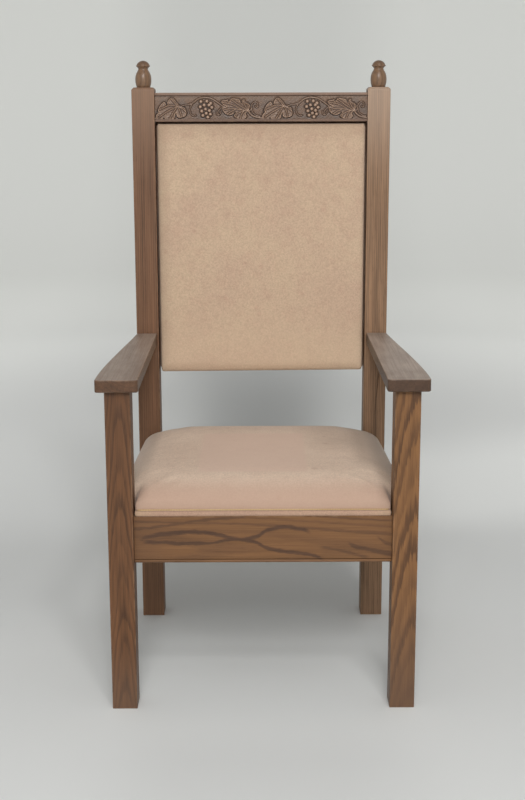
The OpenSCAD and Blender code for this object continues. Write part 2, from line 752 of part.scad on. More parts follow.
front_leg_left();
front_leg_right();
back_post_left();
back_post_right();
front_seat_rail();
back_seat_rail();
side_seat_rail_left();
side_seat_rail_right();
crest_rail();
vine_moulding();
upper_back_rail();
lower_back_rail();
arm_left();
arm_right();
arm_front_dowels();
arm_back_dowels();
finial_left();
finial_right();
corner_block_front_left();
corner_block_front_right();
corner_block_back_left();
corner_block_back_right();
corner_block_screws();
seat_board();
seat_foam();
seat_cover();
dust_cover();
seat_screws();
back_board();
back_foam();
back_cover();
outside_back();
back_panel_screws();
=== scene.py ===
import math

import bmesh
import bpy
import numpy as np
from mathutils import Euler, Matrix, Vector


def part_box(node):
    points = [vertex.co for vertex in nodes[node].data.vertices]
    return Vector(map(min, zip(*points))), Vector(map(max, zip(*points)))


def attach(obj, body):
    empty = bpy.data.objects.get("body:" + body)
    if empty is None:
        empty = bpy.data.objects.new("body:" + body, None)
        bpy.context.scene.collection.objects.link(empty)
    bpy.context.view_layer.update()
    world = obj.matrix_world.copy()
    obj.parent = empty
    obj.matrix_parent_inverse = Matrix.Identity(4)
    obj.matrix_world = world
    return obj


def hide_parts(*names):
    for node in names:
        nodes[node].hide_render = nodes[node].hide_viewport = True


# Pulpit chair in oak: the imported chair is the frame, in metres, +X to the right and +Y to the back.
# The carving, finials, cushions, cloth and screws are built here around it.

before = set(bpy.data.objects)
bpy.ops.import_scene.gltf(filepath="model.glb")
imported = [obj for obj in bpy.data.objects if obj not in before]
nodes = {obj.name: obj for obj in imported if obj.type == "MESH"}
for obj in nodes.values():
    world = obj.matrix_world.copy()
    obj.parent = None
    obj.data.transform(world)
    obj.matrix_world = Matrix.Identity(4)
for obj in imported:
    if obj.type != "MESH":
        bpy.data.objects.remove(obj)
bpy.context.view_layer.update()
view = bpy.context.scene
view.view_settings.view_transform = "Standard"
mm = 0.001
axisIndex = {"x": 0, "y": 1, "z": 2}


def placeOf(name):
    low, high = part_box(name)
    return low, high, (low + high) / 2


# Camera

cameraSetup = {
    "place": (-0.0107, -2.6733, 1.1605),
    "swing": -0.0042,
    "tilt": 12.75,
    "roll": -0.14,
    "lens": 60.52,
}


def makeCamera(setup):
    lensData = bpy.data.cameras.new("photoCamera")
    lensData.lens = setup["lens"]
    lensData.sensor_width = 36
    lensData.sensor_fit = "AUTO"
    camera = bpy.data.objects.new("photoCamera", lensData)
    view.collection.objects.link(camera)
    camera.matrix_world = (
        Matrix.Translation(setup["place"])
        @ Matrix.Rotation(math.atan(setup["swing"]), 4, "Z")
        @ Matrix.Rotation(math.radians(90 - setup["tilt"]), 4, "X")
        @ Matrix.Rotation(math.radians(setup["roll"]), 4, "Z")
    )
    view.camera = camera


makeCamera(cameraSetup)
print("camera set")


# Node helpers

def tone(red, green, blue):
    # colour as it shows on screen, 0 to 255
    def linear(value):
        value = value / 255
        return value / 12.92 if value <= 0.04045 else ((value + 0.055) / 1.055) ** 2.4
    return (linear(red), linear(green), linear(blue), 1)


def put(tree, value, socket):
    if isinstance(value, bpy.types.NodeSocket):
        tree.links.new(value, socket)
    else:
        socket.default_value = value


def addNode(tree, kind, **settings):
    node = tree.nodes.new(kind)
    for key, value in settings.items():
        setattr(node, key, value)
    return node


def calc(tree, operation, first, second=0.0, third=0.0):
    node = addNode(tree, "ShaderNodeMath", operation=operation)
    for value, socket in zip((first, second, third), node.inputs):
        put(tree, value, socket)
    return node.outputs[0]


def times(tree, value, *factors):
    for factor in factors:
        value = calc(tree, "MULTIPLY", value, factor)
    return value


def vectorCalc(tree, operation, first, second=(0, 0, 0)):
    node = addNode(tree, "ShaderNodeVectorMath", operation=operation)
    put(tree, first, node.inputs[0])
    put(tree, second, node.inputs[1])
    return node.outputs["Value" if operation == "LENGTH" else "Vector"]


def spread(tree, value, low, high, start=0.0, end=1.0, kind="SMOOTHSTEP"):
    node = addNode(tree, "ShaderNodeMapRange", interpolation_type=kind)
    for entry, name in (
        (value, "Value"), (low, "From Min"), (high, "From Max"), (start, "To Min"), (end, "To Max"),
    ):
        put(tree, entry, node.inputs[name])
    return node.outputs["Result"]


def mixTones(tree, amount, first, second, kind="MIX"):
    node = addNode(tree, "ShaderNodeMix", data_type="RGBA", blend_type=kind, clamp_factor=True)
    put(tree, amount, node.inputs[0])
    put(tree, first, node.inputs[6])
    put(tree, second, node.inputs[7])
    return node.outputs[2]


def grain(tree, place, scale, detail=2.0, rough=0.5):
    # noise drawn out by a scale per metre along each axis
    node = addNode(tree, "ShaderNodeTexNoise")
    put(tree, vectorCalc(tree, "MULTIPLY", place, scale), node.inputs["Vector"])
    node.inputs["Scale"].default_value = 1
    node.inputs["Detail"].default_value = detail
    node.inputs["Roughness"].default_value = rough
    return node


def splitPlace(tree, place):
    node = addNode(tree, "ShaderNodeSeparateXYZ")
    put(tree, place, node.inputs[0])
    return node.outputs


def joinPlace(tree, x, y, z):
    node = addNode(tree, "ShaderNodeCombineXYZ")
    for value, socket in zip((x, y, z), node.inputs):
        put(tree, value, socket)
    return node.outputs[0]


def startMaterial(name, rough, values=()):
    material = bpy.data.materials.new(name)
    material.use_nodes = True
    tree = material.node_tree
    shader = tree.nodes["Principled BSDF"]
    shader.inputs["Roughness"].default_value = rough
    for key, value in values:
        shader.inputs[key].default_value = value
    place = addNode(tree, "ShaderNodeTexCoord").outputs["Object"]
    return material, tree, shader, place


def addBump(tree, shader, height, distance, strength=1.0):
    node = addNode(tree, "ShaderNodeBump")
    node.inputs["Strength"].default_value = strength
    node.inputs["Distance"].default_value = distance
    put(tree, height, node.inputs["Height"])
    put(tree, node.outputs[0], shader.inputs["Normal"])


def shadeAlong(tree, place, colour, shades):
    # soft changes of tone, each full at start and gone at end along its axis, and so along any limit's
    part = splitPlace(tree, place)
    for axis, start, end, strength, shade, *limits in shades:
        amount = spread(tree, part[axisIndex[axis]], start, end, strength, 0.0)
        for other, full, gone in limits:
            within = spread(tree, part[axisIndex[other]], full, gone, 1.0, 0.0)
            amount = times(tree, amount, within)
        colour = mixTones(tree, amount, colour, tone(*shade))
    return colour


lineFade = 0.03               # share of the piece's length over which a drawn line comes and goes


def figureLine(tree, along, across, line):
    # dark figure whose middle follows a curve from one end of the piece to the other
    node = addNode(tree, "ShaderNodeFloatCurve")
    curve = node.mapping.curves[0]
    for point, (x, y) in zip(curve.points, (line["path"][0], line["path"][-1])):
        point.location = (x, y)
    for x, y in line["path"][1:-1]:
        curve.points.new(x, y)
    node.mapping.update()
    put(tree, along, node.inputs["Value"])
    off = calc(tree, "ABSOLUTE", calc(tree, "SUBTRACT", across, node.outputs[0]))
    band = spread(tree, off, line["width"], line["width"] * 0.25, 0.0, line["dark"])
    first, last = line["path"][0][0], line["path"][-1][0]
    fadeIn = spread(tree, along, first - 0.001, first + lineFade)
    fadeOut = spread(tree, along, last + 0.001, last - lineFade)
    return times(tree, band, fadeIn, fadeOut)


# Oak: rings round a log's heart, cut through by the piece, with pores, fibre and worn edges

oakDefaults = {
    "heart": (0, 0, 0),       # a point on the log's heart, from the middle of the piece, mm
    "along": "z",
    "lean": (0, 0),           # lean of the log against the piece, degrees
    "taper": 0.02,
    "ring": 4.5,              # mm
    "wobble": 7,              # mm
    "wobbleScale": (11, 11, 2.6),
    "jag": 0.12,
    "jagScale": (130, 130, 26),
    "late": (0.6, 0.3),       # where the dark part of a ring fades out
    "contrast": 0.75,
    "light": (139, 104, 72),
    "dark": (93, 68, 52),
    "pore": (62, 43, 32),
    "poreDepth": 0.45,
    "streak": 0.16,
    "rough": 0.46,
    "coat": 0.05,
    "shine": 0.3,
    "worn": 0.3,
    "rubbed": (4, 0.3),       # the worn edge starts, and is full, this far in, mm
    "wornTone": (160, 128, 98),
    # dust and painted sheen: how much of a paler film lies on faces that look up, and its tone
    "dust": 0.0,
    "dustTone": (150, 134, 120),
    "lines": (),              # figure drawn along given lines, as shares of the piece's length and width
    "lineAxis": "x",
    "underLines": 0.5,        # how much of the rings shows between the drawn lines
    "shades": (),
}
axisTurn = {"x": (0, 90, 0), "y": (-90, 0, 0), "z": (0, 0, 0)}


def makeOak(name, low, high, **changes):
    cut = dict(oakDefaults, **changes)
    middle = (low + high) / 2
    material, tree, shader, place = startMaterial(name, cut["rough"], (
        ("Coat Weight", cut["coat"]), ("Coat Roughness", 0.3), ("Specular IOR Level", cut["shine"])))

    # into the log: x and y across it, z along its heart
    turn = Euler([math.radians(a) for a in axisTurn[cut["along"]]]).to_matrix()
    turn = turn @ Euler((math.radians(cut["lean"][0]), math.radians(cut["lean"][1]), 0)).to_matrix()
    mapping = addNode(tree, "ShaderNodeMapping", vector_type="TEXTURE")
    put(tree, place, mapping.inputs["Vector"])
    mapping.inputs["Location"].default_value = middle + Vector(cut["heart"]) * mm
    mapping.inputs["Rotation"].default_value = turn.to_euler()
    log = mapping.outputs[0]

    # the rings wander along the tree
    drift = grain(tree, log, cut["wobbleScale"], 1.5, 0.45)
    offset = vectorCalc(tree, "SUBTRACT", drift.outputs["Color"], (0.5, 0.5, 0.5))
    offset = vectorCalc(tree, "MULTIPLY", offset, (cut["wobble"] * 2 * mm,) * 2 + (0,))
    x, y, u = splitPlace(tree, vectorCalc(tree, "ADD", log, offset))
    radius = vectorCalc(tree, "LENGTH", joinPlace(tree, x, y, 0.0))
    radius = calc(tree, "MULTIPLY_ADD", u, cut["taper"], radius)
    count = calc(tree, "DIVIDE", radius, cut["ring"] * mm)
    jag = grain(tree, log, cut["jagScale"], 2.5, 0.6).outputs[0]
    count = calc(tree, "MULTIPLY_ADD", calc(tree, "SUBTRACT", jag, 0.5), cut["jag"] * 4, count)
    share = calc(tree, "FRACT", count)
    chance = addNode(tree, "ShaderNodeTexWhiteNoise", noise_dimensions="1D")
    put(tree, calc(tree, "FLOOR", count), chance.inputs["W"])
    rise = spread(tree, share, 0.0, 0.16)
    fall = spread(tree, share, *cut["late"])
    band = times(tree, rise, fall, spread(tree, chance.outputs["Value"], 0.0, 1.0, 0.35, 1.0))

    # figure drawn along the given lines where the piece shows one
    if cut["lines"]:
        part = splitPlace(tree, place)
        a, b = axisIndex[cut["along"]], axisIndex[cut["lineAxis"]]
        along = spread(tree, part[a], low[a], high[a], kind="LINEAR")
        across = spread(tree, part[b], low[b], high[b], kind="LINEAR")
        rag = grain(tree, log, (160, 160, 40), 2, 0.55).outputs[0]
        across = calc(tree, "MULTIPLY_ADD", calc(tree, "SUBTRACT", rag, 0.5), 0.09, across)
        band = times(tree, band, cut["underLines"])
        for line in cut["lines"]:
            band = calc(tree, "MAXIMUM", band, figureLine(tree, along, across, line))

    fibre = grain(tree, log, (520, 520, 9), 2, 0.55).outputs[0]
    streak = grain(tree, log, (75, 75, 2.2), 3, 0.55).outputs[0]
    pores = grain(tree, log, (1250, 1250, 42), 1, 0.5).outputs[0]
    pores = spread(tree, pores, 0.58, 0.72)
    pores = times(tree, pores, spread(tree, band, 0.0, 0.7, 0.3, 1.0))

    shade = times(tree, band, cut["contrast"])
    wood = mixTones(tree, shade, tone(*cut["light"]), tone(*cut["dark"]))
    even = calc(tree, "ADD", spread(tree, streak, 0.25, 0.75, -1.0, 1.0, "LINEAR"),
                spread(tree, fibre, 0.25, 0.75, -0.9, 0.9, "LINEAR"))
    even = calc(tree, "MULTIPLY_ADD", even, cut["streak"], 1.0)
    wood = mixTones(tree, 1.0, wood, joinPlace(tree, even, even, even), "MULTIPLY")
    wood = mixTones(tree, times(tree, pores, cut["poreDepth"]), wood, tone(*cut["pore"]))

    # finish rubbed thin along the long edges
    start, full = (value * mm for value in cut["rubbed"])
    near = [
        spread(tree, calc(tree, "ABSOLUTE", calc(tree, "SUBTRACT", value, middle[i])),
               (high[i] - low[i]) / 2 - start, (high[i] - low[i]) / 2 - full)
        for i, value in enumerate(splitPlace(tree, place))
    ]
    pairs = [times(tree, near[i], near[j]) for i, j in ((0, 1), (1, 2), (0, 2))]
    edge = calc(tree, "MAXIMUM", calc(tree, "MAXIMUM", pairs[0], pairs[1]), pairs[2])
    patches = spread(tree, grain(tree, place, (60, 60, 30), 4, 0.6).outputs[0], 0.42, 0.62)
    edge = times(tree, edge, patches, cut["worn"])
    wood = mixTones(tree, edge, wood, tone(*cut["wornTone"]))

    # faded, dull film on top faces: dust, and painted sheen of the light from above
    if cut["dust"]:
        up = splitPlace(tree, addNode(tree, "ShaderNodeNewGeometry").outputs["Normal"])[2]
        dustSheenFilm = spread(tree, up, 0.4, 0.95)
        cloudy = spread(tree, grain(tree, place, (22, 9, 22), 4, 0.6).outputs[0], 0.3, 0.7, 0.6, 1.0)
        rubbed = spread(tree, fibre, 0.3, 0.7, 1.0, 0.72)
        cloudy = times(tree, cloudy, rubbed)
        dustSheenFilm = times(tree, dustSheenFilm, cloudy, cut["dust"])
        wood = mixTones(tree, dustSheenFilm, wood, tone(*cut["dustTone"]))
    wood = shadeAlong(tree, place, wood, cut["shades"])
    put(tree, wood, shader.inputs["Base Color"])

    dull = calc(tree, "MULTIPLY_ADD", pores, 0.25, cut["rough"])
    put(tree, calc(tree, "MULTIPLY_ADD", fibre, 0.1, dull), shader.inputs["Roughness"])
    height = calc(tree, "MULTIPLY_ADD", pores, -0.8, times(tree, fibre, 0.35))
    addBump(tree, shader, height, 0.00025, 0.6)
    return material


def addModifier(piece, kind, **settings):
    modifier = piece.modifiers.new(kind.title(), kind)
    for key, value in settings.items():
        setattr(modifier, key, value)
    return modifier


# Bevelled edges for a carried-over piece of the frame

def dress(name, material, bevel=1.2, angle=40):
    piece = nodes[name]
    piece.data.materials.clear()
    piece.data.materials.append(material)
    if bevel:
        addModifier(piece, "WELD", merge_threshold=0.00002)
        addModifier(piece, "DECIMATE", decimate_type="DISSOLVE", angle_limit=math.radians(0.5))
        addModifier(
            piece, "BEVEL", width=bevel * mm, segments=3, limit_method="ANGLE",
            angle_limit=math.radians(angle), harden_normals=True, use_clamp_overlap=False)


woodPieces = {
    "front_leg_left": dict(
        heart=(1, 15, 60), taper=0.04, ring=3.1, wobble=4, wobbleScale=(10, 10, 5), jag=0.14,
        jagScale=(300, 300, 14), contrast=0.62, light=(107, 72, 46), dark=(64, 43, 30),
        late=(0.75, 0.2), streak=0.22,
        # lighter and greyer towards the foot; darker at the top, painted shade under the arm
        shades=(("z", 0.0, 0.16, 0.35, (108, 90, 77)), ("z", 0.62, 0.42, 0.35, (78, 53, 37)))),
    "front_leg_right": dict(
        heart=(17, 2, 30), taper=0.14, ring=10.3, wobble=3.5, wobbleScale=(14, 14, 5), jag=0.24,
        jagScale=(330, 330, 20), contrast=0.78, light=(131, 92, 57), dark=(78, 52, 35), late=(0.85, 0.3),
        shades=(("z", 0.0, 0.3, 0.55, (92, 74, 64)),)),
    "back_post_left": dict(
        heart=(150, 60, 0), ring=4.2, taper=0.01, wobble=4, contrast=0.6, light=(114, 81, 58),
        dark=(74, 51, 38), streak=0.26, poreDepth=0.6,
        # painted sheen of the light from above on the top; painted light low down, where the arm and seat
        # shade the post
        shades=(("z", 1.2, 0.95, 0.55, (150, 121, 100)), ("z", 0.3, 0.62, 0.2, (150, 112, 84)))),
    "back_post_right": dict(
        heart=(-140, 40, 0), ring=3.6, taper=0.006, wobble=2.5, contrast=0.7, light=(139, 108, 82),
        dark=(86, 63, 48), jagScale=(420, 420, 10), jag=0.2, streak=0.3, poreDepth=0.65,
        # painted sheen of the light from above, lighter towards the top
        shades=(("z", 1.2, 0.95, 0.55, (182, 160, 142)),)),
    "back_seat_rail": dict(along="x", heart=(0, 60, -10)),
    "side_seat_rail_left": dict(along="y", heart=(60, 0, 10)),
    "side_seat_rail_right": dict(along="y", heart=(-55, 0, -12)),
    "crest_rail": dict(
        along="x", heart=(40, 60, 20), contrast=0.5, light=(116, 92, 78), dark=(86, 66, 55), dust=0.4,
        # painted light along the top edge; dust and painted sheen on the top face
        shades=(("z", 1.167, 1.155, 0.7, (146, 120, 104)),)),
    "upper_back_rail": dict(along="x", heart=(0, -50, -30)),
    "lower_back_rail": dict(along="x", heart=(-90, -40, 36)),
}
frontRail = dict(
    along="x", heart=(0, 70, -20), ring=7, taper=0.03, wobble=9, wobbleScale=(9, 9, 2.4),
    light=(122, 86, 55), dark=(72, 51, 41), contrast=0.8, lineAxis="z", underLines=0.55,
    shades=(("x", -0.24, -0.14, 0.3, (92, 66, 50)),),
    lines=(
        dict(path=((0.0, 0.72), (0.15, 0.8), (0.3, 0.93), (0.45, 0.99)), width=0.05, dark=0.7),
        dict(path=((0.04, 0.5), (0.14, 0.62), (0.26, 0.66), (0.34, 0.6), (0.41, 0.5), (0.47, 0.55),
                   (0.52, 0.7), (0.58, 0.76), (0.64, 0.72), (0.68, 0.62)), width=0.07, dark=1.0),
        dict(path=((0.05, 0.46), (0.18, 0.43), (0.3, 0.42), (0.4, 0.5), (0.46, 0.46), (0.52, 0.3),
                   (0.6, 0.22), (0.66, 0.18), (0.73, 0.02)), width=0.06, dark=0.95),
        dict(path=((0.7, 0.34), (0.75, 0.3), (0.82, 0.2), (0.9, 0.08)), width=0.06, dark=0.6),
        dict(path=((0.8, 0.5), (0.84, 0.34), (0.9, 0.26), (1.0, 0.16)), width=0.08, dark=0.8),
        dict(path=((0.91, 0.75), (0.93, 0.5), (0.97, 0.38), (1.0, 0.36)), width=0.06, dark=0.6),
    ),
)
# arms: their top faces carry dust and painted sheen
arms = dict(
    along="y", ring=9, taper=0.015, wobble=6, dark=(68, 50, 39), contrast=0.3,
    streak=0.24, poreDepth=0.6, dust=0.8, coat=0.1, rough=0.42, wornTone=(138, 116, 98), worn=0.5)

for name, cut in woodPieces.items():
    dress(name, makeOak(name + ".oak", *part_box(name), **cut))
dress("front_seat_rail", makeOak("front_seat_rail.oak", *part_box("front_seat_rail"), **frontRail), 0.4)
# each arm has its own tone of dust and painted sheen on top
for name, heart, light, dustTone in (
    ("arm_left", (30, 0, 50), (93, 66, 47), (174, 156, 142)),
    ("arm_right", (-50, 0, 40), (78, 57, 43), (192, 174, 160)),
):
    look = dict(arms, heart=heart, light=light, dustTone=dustTone)
    dress(name, makeOak(name + ".oak", *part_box(name), **look), 2.4, 30)
print("oak pieces dressed")


# Birch blocks, dowels and boards, with saw marks

birchSetup = {
    "light": (206, 176, 132),
    "dark": (184, 150, 106),
    "fibre": (150, 116, 78),
    "saw": (140, 108, 74),
    "sawTurns": 2600,         # radians of the saw's ripple per metre
}


def makeBirch(name, along, scale=1.0):
    material, tree, shader, place = startMaterial(name, 0.62)
    stretch = {"x": (4, 90, 90), "y": (90, 4, 90), "z": (90, 90, 4)}[along]
    figure = grain(tree, place, stretch, 3, 0.55).outputs[0]
    fine = grain(tree, place, [s * 9 for s in stretch], 2, 0.6).outputs[0]
    light, dark, fibre, mark = (tone(*birchSetup[key]) for key in ("light", "dark", "fibre", "saw"))
    wood = mixTones(tree, spread(tree, figure, 0.3, 0.7), light, dark)
    wood = mixTones(tree, spread(tree, fine, 0.5, 0.75, 0, 0.4), wood, fibre)
    part = splitPlace(tree, place)[axisIndex[along]]
    saw = calc(tree, "SINE", times(tree, part, birchSetup["sawTurns"] * scale))
    wood = mixTones(tree, spread(tree, saw, 0.2, 1, 0, 0.16), wood, mark)
    put(tree, wood, shader.inputs["Base Color"])
    addBump(tree, shader, calc(tree, "MULTIPLY_ADD", fine, 0.6, times(tree, saw, 0.3)), 0.0003)
    return material


blockBirch = makeBirch("birch", "x")
for end in ("front", "back"):
    for side in ("left", "right"):
        dress("corner_block_" + end + "_" + side, blockBirch, 0.8)
dowelBirch = makeBirch("birch.dowel", "z", 0.3)
for name in ("arm_front_dowels", "arm_back_dowels"):
    dress(name, dowelBirch, 0)
boardBirch = makeBirch("birch.board", "x", 0.5)
for name in ("seat_board", "back_board"):
    dress(name, boardBirch, 0)


# New pieces

def newPiece(name, points, faces, material, smooth=True):
    mesh = bpy.data.meshes.new(name)
    mesh.from_pydata([tuple(p) for p in points], [], faces)
    mesh.validate()
    mesh.polygons.foreach_set("use_smooth", [smooth] * len(mesh.polygons))
    mesh.update()
    piece = bpy.data.objects.new(name, mesh)
    view.collection.objects.link(piece)
    piece.data.materials.append(material)
    return piece


def ringFaces(count, rings, start=0, flip=False):
    # faces that join each ring of count points to the next
    faces = []
    for ring in range(rings - 1):
        a, b = start + ring * count, start + (ring + 1) * count
        for i in range(count):
            j = (i + 1) % count
            faces.append((a + i, a + j, b + j, b + i) if flip else (a + i, b + i, b + j, a + j))
    return faces


def fanFaces(tip, start, count, flip=False):
    # faces from a single point to a ring of points
    pairs = [(start + i, start + (i + 1) % count) for i in range(count)]
    return [(tip, b, a) if flip else (tip, a, b) for a, b in pairs]


def circle(radius, z, sides):
    turns = [2 * math.pi * i / sides for i in range(sides)]
    return [(radius * math.cos(turn), radius * math.sin(turn), z) for turn in turns]


# Finials: turned on the lathe

finialSetup = {
    "sides": 72,
    "pin": (6, 24),
    # radius and height as shares of the finial's widest radius and of its height above the post
    "profile": (
        (0.83, 0), (0.862, 0.03), (0.9, 0.07), (0.955, 0.13), (0.985, 0.2), (1, 0.28), (0.99, 0.36),
        (0.955, 0.43), (0.89, 0.5), (0.8, 0.56), (0.7, 0.61), (0.63, 0.65), (0.6, 0.675), (0.59, 0.695),
        (0.605, 0.704), (0.64, 0.71), (0.655, 0.718), (0.65, 0.727), (0.7, 0.742), (0.78, 0.762),
        (0.84, 0.782), (0.865, 0.798), (0.865, 0.812), (0.845, 0.822), (0.81, 0.828), (0.795, 0.836),
        (0.77, 0.86), (0.69, 0.9), (0.55, 0.942), (0.37, 0.975), (0.18, 0.994), (0, 1)),
}


def makeFinial(name, material):
    low, high, middle = placeOf(name)
    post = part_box("back_post_" + name.split("_")[1])[1]
    widest = (high.x - low.x) / 2
    tall = high.z - post.z
    pinRadius, pinLength = (value * mm for value in finialSetup["pin"])
    rings = [(0, -pinLength), (pinRadius, -pinLength), (pinRadius, 0)]
    rings += [(r * widest, z * tall) for r, z in finialSetup["profile"]]
    sides = finialSetup["sides"]
    points = []
    for radius, z in rings:
        ring = circle(radius, post.z + z, 1 if radius == 0 else sides)
        points += [(middle.x + x, middle.y + y, height) for x, y, height in ring]
    last = len(points) - 1
    faces = fanFaces(0, 1, sides, flip=True) + fanFaces(last, last - sides, sides)
    faces += ringFaces(sides, len(rings) - 2, 1, flip=True)
    piece = newPiece(name + "_turned", points, faces, material)
    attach(piece, "root")
    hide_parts(name)


for name in ("finial_left", "finial_right"):
    low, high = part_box(name)
    makeFinial(name, makeOak(
        name + ".oak", low, high, heart=(25, 18, 0), ring=6, contrast=0.4, light=(125, 96, 72),
        dark=(86, 65, 50), worn=0, rough=0.34, coat=0.3,
        shades=(("z", high.z - 0.002, high.z - 0.014, 0.45, (84, 64, 52)),)))
print("finials turned")


# Carved vine: two equal lengths, worked out as heights on a fine grid

vineSetup = {
    "cell": 0.5,
    "ground": 4.0,
    "leafHeight": 3.5,
    "grapeRadius": 4.0,
    "sunk": 1.2,              # dark groove cut round every leaf, grape and stem
    "groove": 1.7,
    # tone by height over the ground: from, to, strength and tone; dark wax and painted shade in the grooves
    # and hollows, and painted light that grows with height up to highlights on the highest rims and grapes
    "waxShadeHighlights": (
        (-0.1, -0.8, 1.0, (58, 42, 34)), (0.3, 0.7, 0.75, (84, 64, 52)),
        (1.2, 1.9, 0.9, (130, 104, 86)), (2.5, 3.5, 0.85, (180, 150, 128))),
    "oak": ((96, 77, 65), (108, 80, 60)),
    "fibre": (78, 56, 44),
    "topShade": (150, 122, 100),
    # a leaf: its outline, its veins from the stalk to each tip, and its drilled holes
    "leaves": (
        dict(outline=(
            (30, 16.5), (34, 20), (40, 18), (46, 11.5), (51, 5.5), (56.5, 2), (62.5, 0), (66, -5.5),
            (67, -11.5), (64.5, -18), (57.5, -21), (50, -21.5), (46, -18.5), (44.5, -11.5),
            (42.5, -18.5), (40, -24), (33.5, -25.5), (24, -25.5), (20, -23), (16.5, -25.5), (6, -26),
            (2.5, -24), (2.5, -15.5), (7.5, -10), (5, -7.5), (7.5, -3), (9.5, 2), (15, 8.5),
            (21, 11.5), (25.5, 4.5), (26.5, 11)),
            veins=(
                ((48, 2.5), (35, -4), (24.5, -9.5), (9, -20)), ((48, 2.5), (40.5, 11), (35, 17.5)),
                ((48, 2.5), (31, 4), (11, -4)), ((48, 2.5), (39.5, -10), (31, -24)),
                ((48, 2.5), (53, -7), (56, -18)), ((48, 2.5), (58, -2.5), (65, -8.5))),
            holes=((19, -22.5), (5.5, -8), (25.5, 5.5))),
        dict(outline=(
            (141, 8), (139.5, 12), (143, 14.5), (150, 15), (154.5, 16.5), (156.5, 11.5), (159, 16.5),
            (163.5, 19), (171.5, 18), (178.5, 16.5), (182.5, 10), (184.5, 15.5), (189.5, 16.5),
            (191.5, 10.5), (197, 9), (201.5, 3.5), (200, -3.5), (197, -8.5), (192.5, -12.5),
            (194, -18.5), (189, -24), (179.5, -25), (170, -22), (166.5, -18), (170, -11.5),
            (163, -15.5), (154, -16.5), (146.5, -11.5), (142.5, -5.5), (143, 0), (150, 1.5), (145, 4)),
            veins=(
                ((199.5, -8.5), (184.5, -5.5), (163, -2.5), (146.5, -4.5)),
                ((199.5, -8.5), (180, 3), (169.5, 10.5), (160.5, 16.5)),
                ((184.5, -5.5), (168, 4), (150, 9), (141.5, 10.5)),
                ((199.5, -8.5), (190.5, 3), (186.5, 13.5)), ((199.5, -8.5), (197, -1.5), (196.5, 7)),
                ((189, -6.5), (183, -14.5), (180.5, -23.5)),
                ((189, -6.5), (175, -13), (170.5, -19.5)), ((171, -4), (161.5, -8.5), (152.5, -14))),
            holes=((156, 14), (182.5, 10.5), (169, -10.5))),
    ),
    "grapes": (
        (97.4, 12.1), (110, 12.8), (118, 8.5), (104.1, 4.8), (114.4, 4.8), (96, 1.2), (120.3, -0.3),
        (107, -3.5), (98.9, -7.6), (115.1, -6.6), (108.5, -12.2), (101.4, -16.6), (117, -14.1),
        (111.7, -20)),
    # stems: route and radius
    "stems": (
        (((56, 2.5), (61.3, 4.4), (68, 5), (76, 7.5)), 1.1),
        (((79.7, 7.7), (75.3, 1.2), (73.8, -6.1), (76, -13.4), (81.9, -17.8), (86.4, -17.1)), 1.0),
        (((75.8, 5.5), (83.4, 11.4), (91.5, 17), (101.1, 19.9), (111.4, 19.9), (121.8, 17),
          (132.1, 10.5), (142.4, 3), (148.3, 0.4)), 1.5),
        (((142.4, 0.4), (136.5, -4.7), (132.8, -10.5), (134.3, -15.6)), 1.0),
        (((129.9, -9), (130.6, -14.1), (134.3, -16.3), (138.7, -12), (137.6, -7.6)), 0.9),
        (((197, -6.8), (202.6, -5.8), (203.4, 1.4), (206.8, 8.3), (212.4, 10.7), (217.1, 7.4),
          (216.2, -0.2), (211.8, 1.7)), 1.1),
        (((204.3, -1.7), (206.5, -10.5), (213.2, -16.3), (222, -18.5)), 1.1),
        (((197, -6.8), (201.4, -13.4), (210.2, -19.2), (226, -22.4)), 1.8),
    ),
}


def smoothStep(value, low, high):
    share = np.clip((value - low) / (high - low), 0, 1)
    return share * share * (3 - 2 * share)


def smoothRoute(points, steps=6, closed=False):
    # Catmull-Rom curve through the points
    points = np.array(points, float)
    if closed:
        ends = np.vstack([points[-1], points, points[:2]])
    else:
        ends = np.vstack([2 * points[0] - points[1], points, 2 * points[-1] - points[-2]])
    route = []
    for a, b, c, d in zip(ends, ends[1:], ends[2:], ends[3:]):
        for t in np.arange(steps) / steps:
            route.append(0.5 * (2 * b + (c - a) * t + (2 * a - 5 * b + 4 * c - d) * t * t
                                + (3 * b - a - 3 * c + d) * t ** 3))
    return np.array(route + [points[0] if closed else points[-1]])


def nearRoute(s, t, route):
    # distance to the route, and how far along it the nearest point lies
    lengths = np.linalg.norm(np.diff(route, axis=0), axis=1)
    best = np.full(s.shape, 1e9)
    reach = np.zeros(s.shape)
    done = 0.0
    for (x0, y0), (x1, y1), length in zip(route, route[1:], lengths):
        dx, dy = x1 - x0, y1 - y0
        along = np.clip(((s - x0) * dx + (t - y0) * dy) / length ** 2, 0, 1)
        away = np.hypot(s - x0 - along * dx, t - y0 - along * dy)
        reach = np.where(away < best, done + along * length, reach)
        best = np.minimum(best, away)
        done += length
    return best, reach


def insideOutline(s, t, route):
    # distance in from a closed outline, below zero outside it
    odd = np.zeros(s.shape, bool)
    for (x0, y0), (x1, y1) in zip(route, route[1:]):
        if y0 != y1:
            crosses = (y0 > t) != (y1 > t)
            odd ^= crosses & (s < x0 + (x1 - x0) * (t - y0) / (y1 - y0))
    away = nearRoute(s, t, route)[0]
    return np.where(odd, away, -away)


